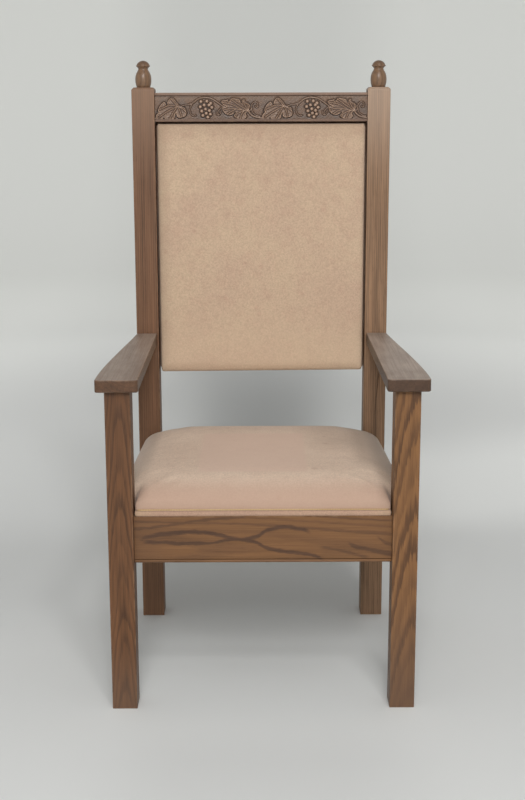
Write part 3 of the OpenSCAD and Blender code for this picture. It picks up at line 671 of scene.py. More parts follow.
def carveLength(s, t):
    # height of one length of vine, and how far it is to the nearest part of it
    body = np.full(s.shape, -9.0)
    clear = np.full(s.shape, 99.0)
    for leaf in vineSetup["leaves"]:
        inside = insideOutline(s, t, smoothRoute(leaf["outline"], 4, True))
        vein = np.full(s.shape, 99.0)
        reach = np.zeros(s.shape)
        for path in leaf["veins"]:
            away, along = nearRoute(s, t, smoothRoute(path, 4))
            reach = np.where(away < vein, along, reach)
            vein = np.minimum(vein, away)
        rim = np.exp(-((inside - 1.5) / 1.15) ** 2) * (1 - 0.7 * np.exp(-(vein / 1.5) ** 2))
        ribs = 0.5 + 0.5 * np.sin((reach - vein * 0.9) * 1.1)
        surface = 0.5 + 0.14 * ribs * smoothStep(vein, 1.5, 3.0) + 0.45 * rim
        surface += 0.45 * np.exp(-(vein / 0.8) ** 2) - 0.3 * np.exp(-((vein - 2.1) / 0.8) ** 2)
        surface = np.clip(surface, 0.22, 1.0)
        leafBody = vineSetup["leafHeight"] * smoothStep(inside, -0.1, 0.6) * surface
        for x, y in leaf["holes"]:
            away = np.hypot(s - x, t - y)
            hole = 2.6 * smoothStep(away, 0.9, 2.0) - 0.9
            leafBody = np.where(away < 2.0, np.minimum(leafBody, hole), leafBody)
        body = np.where(inside > -0.1, np.maximum(body, leafBody), body)
        clear = np.minimum(clear, -inside)
    for path, radius in vineSetup["stems"]:
        away = nearRoute(s, t, smoothRoute(path))[0]
        tube = np.sqrt(np.clip(1 - (away / (radius * 1.1)) ** 2, 0, 1)) * radius + 1.0
        body = np.where(away < radius * 1.1, np.maximum(body, tube), body)
        clear = np.minimum(clear, (away - radius) * 1.5)
    radius = vineSetup["grapeRadius"]
    for x, y in vineSetup["grapes"]:
        away = np.hypot(s - x, t - y)
        ball = np.sqrt(np.clip(radius ** 2 - away ** 2, 0, None))
        body = np.where(away < radius, np.maximum(body, ball), body)
        clear = np.minimum(clear, away - radius)
    return body, clear


def carveVine(s, t, unit):
    # s runs along one length of vine, t up from the middle of the strip, both in mm
    ripple = 0.12 * np.sin(s * 0.9 + 1.3 * np.sin(t * 0.7)) * np.cos(t * 0.8 + s * 0.23)
    body, clear = carveLength(s, t)
    nextBody, nextClear = carveLength(s + unit, t)
    clear = np.maximum(np.minimum(clear, nextClear), 0)
    ground = ripple - vineSetup["sunk"] * np.exp(-(clear / vineSetup["groove"]) ** 2)
    return np.maximum(np.maximum(body, nextBody), ground)


def makeVine(material):
    low, high, middle = placeOf("vine_moulding")
    unit = (high.x - low.x) / 2
    across, up = (int(round((high[i] - low[i]) / (vineSetup["cell"] * mm))) for i in (0, 2))
    x = np.linspace(low.x, high.x, across + 1)
    z = np.linspace(low.z, high.z, up + 1)
    gridX, gridZ = np.meshgrid(x, z)
    s = np.mod(gridX - low.x, unit) / mm
    t = (gridZ - middle.z) / mm
    height = carveVine(s, t, unit / mm)
    ground = high.y - vineSetup["ground"] * mm
    y = ground - height * mm
    points = np.stack([gridX, y, gridZ], -1).reshape(-1, 3).tolist()
    wide = across + 1
    faces = [
        (r * wide + c, r * wide + c + 1, (r + 1) * wide + c + 1, (r + 1) * wide + c)
        for r in range(up) for c in range(across)]
    back = len(points)
    points += [(px, high.y, low.z) for px in x] + [(px, high.y, high.z) for px in x]
    topRow = up * wide
    for c in range(across):
        faces.append((c + 1, c, back + c, back + c + 1))
        faces.append((topRow + c, topRow + c + 1, back + wide + c + 1, back + wide + c))
        faces.append((back + c + 1, back + c, back + wide + c, back + wide + c + 1))
    faces.append([r * wide for r in range(up + 1)] + [back + wide, back])
    faces.append([r * wide + across for r in range(up, -1, -1)] + [back + across, back + wide + across])
    piece = newPiece("vine_carving", points, faces, material)
    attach(piece, "root")
    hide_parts("vine_moulding")


def makeCarvedOak():
    low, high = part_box("vine_moulding")
    material, tree, shader, place = startMaterial(
        "carved.oak", 0.42, (("Coat Weight", 0.15), ("Coat Roughness", 0.3)))
    ground = high.y - vineSetup["ground"] * mm
    parts = splitPlace(tree, place)
    height = times(tree, calc(tree, "SUBTRACT", ground, parts[1]), 1000)
    fibre = grain(tree, place, (10, 420, 420), 3, 0.6).outputs[0]
    patch = grain(tree, place, (38, 38, 60), 3, 0.55).outputs[0]
    wood = mixTones(tree, spread(tree, patch, 0.38, 0.62), *(tone(*oak) for oak in vineSetup["oak"]))
    inBand = times(tree, spread(tree, parts[2], low.z, low.z + 0.002),
                  spread(tree, parts[2], high.z, high.z - 0.002))
    # dark wax and painted shade low down, painted light and highlights on the highest parts
    for start, end, strength, shade in vineSetup["waxShadeHighlights"]:
        amount = times(tree, spread(tree, height, start, end, 0.0, strength), inBand)
        wood = mixTones(tree, amount, wood, tone(*shade))
    wood = mixTones(tree, spread(tree, fibre, 0.4, 0.75, 0, 0.4), wood, tone(*vineSetup["fibre"]))
    wood = shadeAlong(tree, place, wood, (("z", high.z, high.z - 0.02, 0.25, vineSetup["topShade"]),))
    put(tree, wood, shader.inputs["Base Color"])
    addBump(tree, shader, fibre, 0.0003, 0.5)
    return material


makeVine(makeCarvedOak())
print("vine carved")


# Plush: a short faded pile, blotched and rubbed

plushDefaults = {
    "light": (197, 172, 146),
    "warm": (190, 162, 140),
    "spot": (182, 148, 128),
    "mottle": 0.28,
    "shades": (),
}


def makePlush(name, **changes):
    look = dict(plushDefaults, **changes)
    material, tree, shader, place = startMaterial(name, 0.9, (
        ("Sheen Weight", 0.12), ("Sheen Roughness", 0.45), ("Specular IOR Level", 0.25)))
    cloud = grain(tree, place, (9, 9, 9), 3, 0.55).outputs[0]
    mottle = grain(tree, place, (42, 42, 42), 3, 0.6).outputs[0]
    nap = grain(tree, place, (300, 300, 300), 3, 0.75).outputs[0]
    fuzz = grain(tree, place, (1500, 1500, 1500), 1, 0.5).outputs[0]
    light, warm, spot = (tone(*look[key]) for key in ("light", "warm", "spot"))
    cloth = mixTones(tree, spread(tree, cloud, 0.3, 0.7, 0, 0.7), light, warm)
    cloth = mixTones(tree, spread(tree, mottle, 0.42, 0.7, 0, look["mottle"]), cloth, spot)
    spots = addNode(tree, "ShaderNodeTexVoronoi", feature="F1")
    put(tree, vectorCalc(tree, "MULTIPLY", place, (30, 30, 30)), spots.inputs["Vector"])
    spots.inputs["Scale"].default_value = 1
    spots.inputs["Randomness"].default_value = 1
    chance = splitPlace(tree, spots.outputs["Color"])[0]
    wide = spread(tree, chance, 0.0, 1.0, 0.04, 0.17, "LINEAR")
    away = calc(tree, "DIVIDE", spots.outputs["Distance"], wide)
    dot = calc(tree, "SUBTRACT", 1.0, spread(tree, away, 0.5, 1.4))
    dot = times(tree, dot, spread(tree, chance, 0.55, 0.62, 0, 0.4))
    cloth = mixTones(tree, dot, cloth, spot)
    speck = calc(tree, "ADD", spread(tree, nap, 0.3, 0.7, -0.15, 0.15, "LINEAR"), 1.0)
    speck = calc(tree, "ADD", speck, spread(tree, fuzz, 0.3, 0.7, -0.06, 0.06, "LINEAR"))
    cloth = mixTones(tree, 1.0, cloth, joinPlace(tree, speck, speck, speck), "MULTIPLY")
    cloth = shadeAlong(tree, place, cloth, look["shades"])
    if "patch" in look:
        patch = look["patch"]
        part = splitPlace(tree, place)
        soft = patch["soft"]
        inside = 1.0
        for value, (start, end) in zip(part[:2], (patch["x"], patch["y"])):
            inside = times(
                tree, inside, spread(tree, value, start - soft, start + soft),
                spread(tree, value, end + soft, end - soft))
        cloth = mixTones(tree, times(tree, inside, patch["strength"]), cloth, tone(*patch["tone"]))
    put(tree, cloth, shader.inputs["Base Color"])
    height = calc(tree, "MULTIPLY_ADD", fuzz, 0.5, nap)
    addBump(tree, shader, height, 0.0006, 0.5)
    return material


# Cushions: a crowned form, remeshed, blown up a little as cloth, and held to its shape by a cap

# rings of a cushion's top, as shares of the way from its middle to its edge
crownShares = (0.1, 0.25, 0.4, 0.52, 0.62, 0.7, 0.77, 0.83, 0.88, 0.915, 0.94, 0.96, 0.975, 0.986, 0.994, 1)
blowFrames = 20


def roundOutline(corners, radii, step):
    # closed outline with rounded corners, points no further apart than step
    corners = [Vector(c) for c in corners]
    points = []
    for i, corner in enumerate(corners):
        before, after = corners[i - 1], corners[(i + 1) % len(corners)]
        start = corner + (before - corner).normalized() * radii[i]
        end = corner + (after - corner).normalized() * radii[i]
        turns = max(3, int(radii[i] * 1.6 / step) + 2)
        for k in range(turns + 1):
            t = k / turns
            points.append((1 - t) ** 2 * start + 2 * t * (1 - t) * corner + t * t * end)
        nextStart = after + (corner - after).normalized() * radii[(i + 1) % len(corners)]
        count = int((nextStart - end).length / step)
        points += [end.lerp(nextStart, k / (count + 1)) for k in range(1, count + 1)]
    return np.array([tuple(p) for p in points])


def contour(outline, centre, share, inset, crown):
    # the outline at the edge, and nearer the centre ever more like the crown's own round contour
    away = outline - centre
    far = np.linalg.norm(away, axis=1)
    direction = away / far[:, None]
    square = crown["square"]
    reach = far / ((np.abs(away[:, 0]) / crown["halfWidth"]) ** square
                   + (np.abs(away[:, 1]) / crown["halfDepth"]) ** square) ** (1 / square)
    blend = share ** 4
    radius = (blend * far + (1 - blend) * reach - inset) * share
    return centre + direction * radius[:, None]


def rolled(share, power, fullness):
    # height of a crown across one direction: 1 in the middle, 0 at the edge
    return np.clip(1 - np.abs(share) ** power, 0, 1) ** fullness


def cushionForm(outline, centre, crown, heightAt):
    # flat below, upright sides that draw in, and a rolled edge under the crown
    inset = crown["inset"]
    layers = [(share, inset, None) for share in crownShares]
    layers.append((1, inset + crown["tuck"] * 0.35, crown["wall"] * 0.45))
    layers.append((1, inset + crown["tuck"], 0.0))
    layers += [(share, inset + crown["tuck"], 0.0) for share in (0.8, 0.5, 0.2)]
    count = len(outline)
    points = [(*centre, crown["wall"] + heightAt(np.array([centre]))[0])]
    for share, drawn, z in layers:
        ring = contour(outline, centre, share, drawn, crown)
        if z is None:
            base = contour(outline, centre, share, 0, crown)
            heights = crown["wall"] + heightAt(base)
        else:
            heights = np.full(count, z)
        points += [(px, py, pz) for (px, py), pz in zip(ring, heights)]
    points.append((*centre, 0.0))
    last = len(points) - 1
    faces = fanFaces(0, 1, count) + fanFaces(last, last - count, count, flip=True)
    faces += ringFaces(count, len(layers), 1)
    return np.array(points), faces


def finalMesh(piece):
    # the piece's mesh with its modifiers, which then go
    graph = bpy.context.evaluated_depsgraph_get()
    mesh = bpy.data.meshes.new_from_object(piece.evaluated_get(graph))
    piece.modifiers.clear()
    piece.data = mesh


def coordinates(mesh):
    places = np.empty(len(mesh.vertices) * 3)
    mesh.vertices.foreach_get("co", places)
    return places.reshape(-1, 3)


def inflate(piece, setup, isHeld, settle):
    # settle puts the blown points where the piece's neighbours leave room for them
    addModifier(piece, "REMESH", mode="VOXEL", voxel_size=setup["voxel"] * mm)
    finalMesh(piece)
    addModifier(piece, "SMOOTH", factor=0.5, iterations=3)
    finalMesh(piece)
    places = coordinates(piece.data)
    held = piece.vertex_groups.new(name="held")
    held.add([int(i) for i in np.nonzero(isHeld(places))[0]], 1, "REPLACE")
    cloth = addModifier(piece, "CLOTH")
    cloth.settings.use_pressure = True
    cloth.settings.uniform_pressure_force = setup["pressure"]
    cloth.settings.vertex_group_mass = "held"
    cloth.settings.effector_weights.gravity = 0
    cloth.settings.quality = 5
    cloth.collision_settings.use_collision = False
    cloth.point_cache.frame_end = blowFrames
    for number in range(1, blowFrames + 1):
        view.frame_set(number)
    graph = bpy.context.evaluated_depsgraph_get()
    blown = coordinates(piece.evaluated_get(graph).to_mesh())
    piece.modifiers.clear()
    piece.vertex_groups.clear()
    view.frame_set(1)
    travel = blown - places
    length = np.linalg.norm(travel, axis=1)
    cap = setup["travel"] * mm
    travel *= (cap * np.tanh(length / cap) / np.maximum(length, 1e-9))[:, None]
    places = places + travel
    piece.data.vertices.foreach_set("co", settle(places).ravel())
    piece.data.update()
    piece.data.polygons.foreach_set("use_smooth", [True] * len(piece.data.polygons))
    addModifier(piece, "SUBSURF", levels=1, render_levels=1)


# Seat

seatSetup = {
    "bandHeight": 7,          # folded edge under the crease, mm
    "overlap": 2,             # cushion below the top of that edge
    "thin": 0.7,              # starts this much smaller, before it swells
    "tuck": 0.3,
    "crown": 69.5,            # above the seat rails
    "dome": 3,
    "roll": 8,
    "fullness": 0.6,
    "square": 4,
    "wall": 25,
    "corner": 5,
    "shoulder": 16,
    "notch": 3,
    "notchRoll": 34,          # width of the roll round the legs and posts
    "gap": 1.1,
    "clear": 0.6,             # the swollen cloth stays this far off legs and posts
    "spacing": 9,             # of the points round the outline
    "voxel": 5.5,
    "travel": 2.5,            # how far the cloth may swell, mm
    "pressure": 4,
    "held": 3,                # height over the underside that stays as it is
    # turned edge: how far in from the outline, and height, from the crease to under the board, mm
    "turnedEdge": (
        (2.4, 11), (1.6, 7.8), (1, 7), (0.8, 6), (0.7, 4), (1, 1.9), (1.8, 0.5), (2.6, 0), (13, 0),
        (14, 0.4), (14, 1.2), (2.6, 1.2), (2.4, 2.5)),
}


def seatCorners():
    # right-hand half of the seat's plan, then its mirror image
    low, high, middle = placeOf("seat_cover")
    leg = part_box("front_leg_right")
    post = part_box("back_post_right")
    gap = seatSetup["gap"] * mm
    slope = (leg[1].x - post[1].x) / (post[0].y - leg[0].y)
    shoulder, heel = leg[1].y + gap, post[0].y - gap
    frontX, backX = leg[0].x - gap, post[0].x - gap
    right = [(frontX, low.y), (frontX, shoulder), (high.x, shoulder),
             (high.x - slope * (heel - shoulder), heel), (backX, heel), (backX, high.y)]
    radii = [seatSetup[key] * mm for key in ("corner", "notch", "shoulder", "shoulder", "notch", "corner")]
    corners = right + [(-x, y) for x, y in reversed(right)]
    return corners, radii + radii[::-1], (low, high, middle)


def makeSeat(material, bandMaterial):
    corners, radii, (low, high, middle) = seatCorners()
    outline = roundOutline(corners, radii, seatSetup["spacing"] * mm)
    centre = np.array((0.0, middle.y))
    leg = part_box("front_leg_right")
    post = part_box("back_post_right")
    halfDepth = (high.y - low.y) / 2
    slope = (corners[2][0] - corners[3][0]) / (corners[3][1] - corners[2][1])
    rise = (seatSetup["crown"] - seatSetup["wall"] - seatSetup["dome"]) * mm
    power, fullness = seatSetup["roll"], seatSetup["fullness"]
    notchRoll = seatSetup["notchRoll"] * mm
    gap = seatSetup["gap"] * mm

    def heightAt(places):
        x, y = np.abs(places[:, 0]), places[:, 1]
        wide = corners[2][0] - slope * (y - corners[2][1])
        height = rolled(x / wide, power, fullness) * rolled((y - middle.y) / halfDepth, power, fullness)
        for near, far in (leg, post):
            awayX = np.maximum(near.x - gap - x, 0)
            awayY = np.maximum(np.maximum(y - far.y - gap, near.y - gap - y), 0)
            away = np.clip(np.hypot(awayX, awayY) / notchRoll, 0, 1)
            height = height * rolled(1 - away, 4, fullness)
        dome = np.clip(1 - (x / wide) ** 2, 0, 1) * np.clip(1 - ((y - middle.y) / halfDepth) ** 2, 0, 1)
        return height * rise + dome * seatSetup["dome"] * mm - seatSetup["thin"] * mm

    lift = (seatSetup["bandHeight"] - seatSetup["overlap"]) * mm
    crown = {
        "wall": seatSetup["wall"] * mm - lift, "square": seatSetup["square"],
        "halfWidth": (corners[2][0] + corners[3][0]) / 2, "halfDepth": halfDepth,
        "inset": seatSetup["thin"] * mm, "tuck": seatSetup["tuck"] * mm,
    }
    points, faces = cushionForm(outline, centre, crown, heightAt)
    points[:, 2] += low.z + lift
    seat = newPiece("seat_cushion", points, faces, material)
    clear = seatSetup["clear"] * mm

    def keepOff(places):
        # never into a leg or post
        for near, far in (leg, post):
            x, y = np.abs(places[:, 0]), places[:, 1]
            side, front, back = near.x - clear, near.y - clear, far.y + clear
            inside = (x > side) & (y > front) & (y < back)
            sideways = inside & (x - side <= np.minimum(back - y, y - front))
            places[sideways, 0] = np.sign(places[sideways, 0]) * side
            lengthways = inside & ~sideways
            toBack = back - y < y - front
            places[lengthways & toBack, 1] = back
            places[lengthways & ~toBack, 1] = front
        return places

    underside = low.z + lift + seatSetup["held"] * mm
    inflate(seat, seatSetup, lambda p: p[:, 2] < underside, keepOff)
    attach(seat, "root")
    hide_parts("seat_cover", "seat_foam")

    # cloth folded under the board: a low band below the crease and a turned edge underneath
    rows = seatSetup["turnedEdge"]
    count = len(outline)
    points = []
    for inset, z in rows:
        ring = contour(outline, centre, 1, inset * mm, crown)
        points += [(px, py, low.z + z * mm) for px, py in ring]
    faces = ringFaces(count, len(rows))
    a = (len(rows) - 1) * count
    faces += [(a + i, i, (i + 1) % count, a + (i + 1) % count) for i in range(count)]
    band = newPiece("seat_turned_edge", points, faces, bandMaterial)
    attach(band, "root")


seatLow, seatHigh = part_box("seat_cover")
seatPlush = makePlush(
    "plush.seat",
    light=(217, 194, 173), warm=(209, 184, 163), mottle=0.15,
    # painted shade on the front face, at the foot of the front, towards the back under the back panel, and
    # in the back corners and sides where the arms shade the seat; painted light along both side edges
    shades=(
        ("y", seatLow.y + 0.004, seatLow.y + 0.058, 0.85, (184, 153, 134)),
        ("z", seatLow.z + 0.006, seatLow.z + 0.03, 0.18, (176, 139, 118)),
        ("y", seatHigh.y - 0.03, seatHigh.y - 0.17, 0.2, (160, 136, 118)),
        ("x", 0.17, 0.05, 0.3, (132, 113, 98), ("y", 0.06, -0.06)),
        ("x", 0.225, 0.16, 0.3, (132, 113, 98), ("y", -0.06, -0.2)),
        ("x", 0.25, 0.19, 0.8, (214, 191, 171), ("y", 0.0, -0.14)),
        ("x", 0.24, 0.21, 0.35, (120, 102, 88), ("z", 0.43, 0.39)),
        ("x", -0.26, -0.225, 0.5, (236, 214, 196), ("y", -0.02, -0.2)),
        ("x", -0.235, -0.21, 0.2, (132, 113, 98), ("z", 0.43, 0.39))),
    patch=dict(x=(-0.124, 0.086), y=(-0.174, 0.113), soft=0.006, strength=0.7, tone=(214, 185, 166)))
bandPlush = makePlush(
    "plush.edge", light=(181, 149, 127), warm=(174, 141, 121), mottle=0.2,
    shades=(("x", -0.24, -0.19, 0.3, (192, 168, 132)), ("x", 0.24, 0.19, 0.3, (196, 172, 136))))
makeSeat(seatPlush, bandPlush)
print("seat filled")


# Back panel

panelSetup = {
    "topCorner": 3,
    "bottomCorner": 8,
    "crown": 11,              # crown of the front over its edges, mm
    "dome": 1.5,
    "sideRoll": 7,
    "topRoll": 7,
    "bottomRoll": 17,
    "wider": 3.1,             # cloth over the panel's own edge
    "sag": 3.0,               # the left end of the lower edge hangs a little
    "lower": 0.6,             # cloth below and above the panel's own edges
    "higher": 0.4,
    "tuck": 1,
    "square": 30,
    "spacing": 6,
    "voxel": 4.5,
    "travel": 1.5,
    "pressure": 3,
    "held": 3,                # distance from the back that stays as it is
}


def quarter(share):
    # quarter of a circle: 0 at the edge, 1 from share 1 on
    return np.sqrt(1 - (1 - np.clip(share, 0, 1)) ** 2)


def fitTo(places, axis, low, high):
    # stretched along one axis to reach exactly from low to high
    values = places[:, axis]
    start, end = values.min(), values.max()
    places[:, axis] = low + (values - start) * (high - low) / (end - start)


def makePanel(material):
    low, high, middle = placeOf("back_cover")
    halfHeight = (high.z - low.z) / 2
    x = high.x
    corners = [(x, -halfHeight), (x, halfHeight), (-x, halfHeight), (-x, -halfHeight)]
    radii = [panelSetup[k] * mm for k in ("bottomCorner", "topCorner", "topCorner", "bottomCorner")]
    outline = roundOutline(corners, radii, panelSetup["spacing"] * mm)
    crown, dome = panelSetup["crown"] * mm, panelSetup["dome"] * mm
    rolls = [panelSetup[k] * mm for k in ("sideRoll", "topRoll", "bottomRoll")]

    def heightAt(places):
        across, up = places[:, 0] / x, places[:, 1] / halfHeight
        toEdges = (x - np.abs(places[:, 0]), halfHeight - places[:, 1], halfHeight + places[:, 1])
        height = 1.0
        for toEdge, roll in zip(toEdges, rolls):
            height = height * quarter(toEdge / roll)
        return height * crown + np.clip(1 - across ** 2, 0, 1) * np.clip(1 - up ** 2, 0, 1) * dome

    form = {
        "wall": high.y - low.y - crown - dome, "square": panelSetup["square"],
        "halfWidth": x, "halfDepth": halfHeight, "inset": 0, "tuck": panelSetup["tuck"] * mm,
    }
    points, faces = cushionForm(outline, np.array((0.0, 0.0)), form, heightAt)
    points = np.stack([points[:, 0], high.y - points[:, 2], middle.z + points[:, 1]], -1)
    panel = newPiece("back_cushion", points, faces, material)
    wider, lower, higher, sag, held = (
        panelSetup[k] * mm for k in ("wider", "lower", "higher", "sag", "held"))

    def hang(places):
        fitTo(places, 0, low.x - wider, high.x + wider)
        fitTo(places, 2, low.z - lower, high.z + higher)
        toLeft = np.clip(0.5 - places[:, 0] / (2 * x), 0, 1)
        down = np.clip((middle.z - places[:, 2]) / halfHeight, 0, 1)
        places[:, 2] -= toLeft * down ** 3 * sag
        return places

    inflate(panel, panelSetup, lambda p: p[:, 1] > high.y - held, hang)
    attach(panel, "root")
    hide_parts("back_cover", "back_foam")


panelLow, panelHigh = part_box("back_cover")
makePanel(makePlush(
    "plush.panel",
    # painted shade along the left edge and under the crest rail at the top; painted light along the bottom
    shades=(
        ("x", panelLow.x, panelLow.x + 0.034, 0.35, (150, 128, 106)),
        ("z", panelHigh.z, panelHigh.z - 0.045, 0.26, (128, 102, 82)),
        ("z", panelLow.z, panelLow.z + 0.2, 0.35, (206, 180, 153)))))
print("back panel filled")


# Sheets: the dust cloth under the seat and the lining behind the panel

sheetSetup = {
    # rings of a sheet, as shares of the way from its middle to its edge
    "shares": (0.12, 0.25, 0.4, 0.55, 0.7, 0.82, 0.91, 0.97, 1.0),
    "dustThick": 0.4,         # mm
    "dustSpacing": 12,        # of the points round the outline
    "dustInset": 14.3,        # from the seat's outline, so that the turned edge covers it
    "dustRipple": 0.06,
    "dustLift": 0.1,
    "cambric": ((40, 40, 43), (62, 62, 65)),
    "lint": (98, 96, 92),
    "liningThick": 1.2,
    "liningSpacing": 15,
    "liningGap": 0.4,         # to each post
    "liningTop": 0.2,         # to the crest rail
    "liningRipple": 0.2,
    "liningSet": 0.3,         # in from the frame's own lining
    "liningCorners": (9, 1, 1, 9),
}


def gridSheet(name, outline, centre, surface, thick, material, turn):
    # thin closed sheet over an outline, in rings, with its surface lifted by a function
    shares = sheetSetup["shares"]
    count = len(outline)
    points = []
    for side in (0, 1):
        points.append((*centre, surface(*centre, 0) + side * thick))
        for share in shares:
            ring = centre + (outline - centre) * share
            points += [(px, py, surface(px, py, share) + side * thick) for px, py in ring]
    half = len(points) // 2
    faces = []
    for start, flip in ((0, True), (half, False)):
        faces += fanFaces(start, start + 1, count, flip) + ringFaces(count, len(shares), start + 1, flip)
    edge = half - count
    for i in range(count):
        j = (i + 1) % count
        faces.append((edge + i, edge + j, half + edge + j, half + edge + i))
    points = [turn(*p) for p in points]
    return newPiece(name, points, faces, material)


def makeCambric():
    material, tree, shader, place = startMaterial("dust_cloth.cambric", 0.88)
    weave = grain(tree, place, (900, 900, 900), 2, 0.6).outputs[0]
    lint = spread(tree, grain(tree, place, (160, 160, 160), 3, 0.7).outputs[0], 0.6, 0.8, 0, 0.5)
    cloth = mixTones(tree, spread(tree, weave, 0.3, 0.7), *(tone(*dye) for dye in sheetSetup["cambric"]))
    put(tree, mixTones(tree, lint, cloth, tone(*sheetSetup["lint"])), shader.inputs["Base Color"])
    addBump(tree, shader, weave, 0.0004, 0.6)
    return material


def makeDustCloth():
    low, high, middle = placeOf("dust_cover")
    corners, radii, _ = seatCorners()
    outline = roundOutline(corners, radii, sheetSetup["dustSpacing"] * mm)
    centre = np.array((0.0, middle.y))
    away = outline - centre
    direction = away / np.linalg.norm(away, axis=1)[:, None]
    outline = outline - direction * sheetSetup["dustInset"] * mm
    outline[:, 0] = np.clip(outline[:, 0], low.x, high.x)
    outline[:, 1] = np.clip(outline[:, 1], low.y, high.y)

    def surface(x, y, share):
        return sheetSetup["dustRipple"] * mm * math.sin(x * 210 + 2 * math.sin(y * 60)) * share

    lift = low.z + sheetSetup["dustLift"] * mm
    piece = gridSheet(
        "dust_cloth", outline, centre, surface, sheetSetup["dustThick"] * mm, makeCambric(),
        lambda x, y, z: (x, y, lift + z))
    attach(piece, "root")
    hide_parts("dust_cover")


def makeLining(material):
    # tacked over the panel's back, it nearly meets the posts and the crest rail
    low, high, middle = placeOf("outside_back")
    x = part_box("back_post_right")[0].x - sheetSetup["liningGap"] * mm
    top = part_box("crest_rail")[0].z - sheetSetup["liningTop"] * mm
    corners = [(x, low.z), (x, top), (-x, top), (-x, low.z)]
    radii = [radius * mm for radius in sheetSetup["liningCorners"]]
    outline = roundOutline(corners, radii, sheetSetup["liningSpacing"] * mm)
    outer = high.y - sheetSetup["liningSet"] * mm
    ripple = sheetSetup["liningRipple"] * mm
    piece = gridSheet(
        "outside_back_lining", outline, np.array((0.0, middle.z)),
        lambda px, py, share: ripple * math.sin(px * 37) * math.sin(py * 29),
        sheetSetup["liningThick"] * mm, material, lambda px, py, z: (px, outer - z, py))
    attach(piece, "root")
    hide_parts("outside_back")


makeDustCloth()
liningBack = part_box("outside_back")[1].y
makeLining(makePlush(
    "plush.lining", light=(190, 164, 138), warm=(182, 152, 130),
    # painted shade: its front face, seen through the gaps round the panel, is dark
    shades=(("y", liningBack - 0.0014, liningBack - 0.0008, 1.0, (134, 104, 84)),)))
print("sheets laid")


# Screws with a cross recess

screwSetup = {
    "head": (4, 3),           # radius and height, mm
    "shank": 2,
    "crossArm": 2.3,
    "crossHalf": 0.45,
    "crossDeep": 1.3,
    "sides": 36,
    "zinc": ((186, 184, 176), (150, 146, 136)),
}


def makeSteel():
    material, tree, shader, place = startMaterial("steel.zinc", 0.38, (("Metallic", 1.0),))
    dull = grain(tree, place, (300, 300, 300), 3, 0.6).outputs[0]
    zinc = mixTones(tree, spread(tree, dull, 0.3, 0.7), *(tone(*metal) for metal in screwSetup["zinc"]))
    put(tree, zinc, shader.inputs["Base Color"])
    put(tree, spread(tree, dull, 0.3, 0.7, 0.3, 0.5), shader.inputs["Roughness"])
    addBump(tree, shader, dull, 0.0001, 0.4)
    return material


def screwForm(length):
    # head's face at zero, looking along -Z, the shank below it along +Z
    form = bmesh.new()
    sides = screwSetup["sides"]
    headRadius, headHeight = (value * mm for value in screwSetup["head"])
    shank = screwSetup["shank"] * mm
    profile = [(headRadius * 0.9, 0.0), (headRadius * 0.98, 0.0003), (headRadius, 0.001),
               (headRadius * 0.97, headHeight * 0.75), (shank * 1.2, headHeight), (shank, headHeight * 1.1),
               (shank, length - 0.006), (shank * 0.5, length - 0.002), (0.0002, length)]
    rings = [[form.verts.new(point) for point in circle(r, z, sides)] for r, z in profile]
    for first, second in zip(rings, rings[1:]):
        for i in range(sides):
            j = (i + 1) % sides
            form.faces.new((first[i], first[j], second[j], second[i]))
    form.faces.new(rings[-1])
    arm, half = screwSetup["crossArm"] * mm, screwSetup["crossHalf"] * mm
    armCorners = [(arm, -half), (arm, half), (half, half)]
    plus = []
    for c, s in ((1, 0), (0, 1), (-1, 0), (0, -1)):
        plus += [(x * c - y * s, x * s + y * c) for x, y in armCorners]
    rim = [form.verts.new((x, y, 0)) for x, y in plus]
    deep = [form.verts.new((x * 0.75, y * 0.75, screwSetup["crossDeep"] * mm)) for x, y in plus]
    count = len(plus)
    rimEdges = [form.edges.new((rim[i], rim[(i + 1) % count])) for i in range(count)]
    ringEdges = [form.edges.get((rings[0][i], rings[0][(i + 1) % sides])) for i in range(sides)]
    bmesh.ops.triangle_fill(form, use_beauty=True, edges=rimEdges + ringEdges)
    for i in range(count):
        j = (i + 1) % count
        form.faces.new((rim[i], rim[j], deep[j], deep[i]))
    form.faces.new(deep)
    bmesh.ops.recalc_face_normals(form, faces=form.faces)
    mesh = bpy.data.meshes.new("screw")
    form.to_mesh(mesh)
    form.free()
    return mesh


def solidParts(name):
    # boxes of the separate solids in a node of the frame
    form = bmesh.new()
    form.from_mesh(nodes[name].data)
    bmesh.ops.remove_doubles(form, verts=form.verts, dist=0.00002)
    form.verts.ensure_lookup_table()
    seen, boxes = set(), []
    for vert in form.verts:
        if vert.index in seen:
            continue
        group, queue = [], [vert]
        seen.add(vert.index)
        while queue:
            here = queue.pop()
            group.append(here.co.copy())
            for edge in here.link_edges:
                other = edge.other_vert(here)
                if other.index not in seen:
                    seen.add(other.index)
                    queue.append(other)
        boxes.append((Vector(map(min, zip(*group))), Vector(map(max, zip(*group)))))
    form.free()
    return boxes


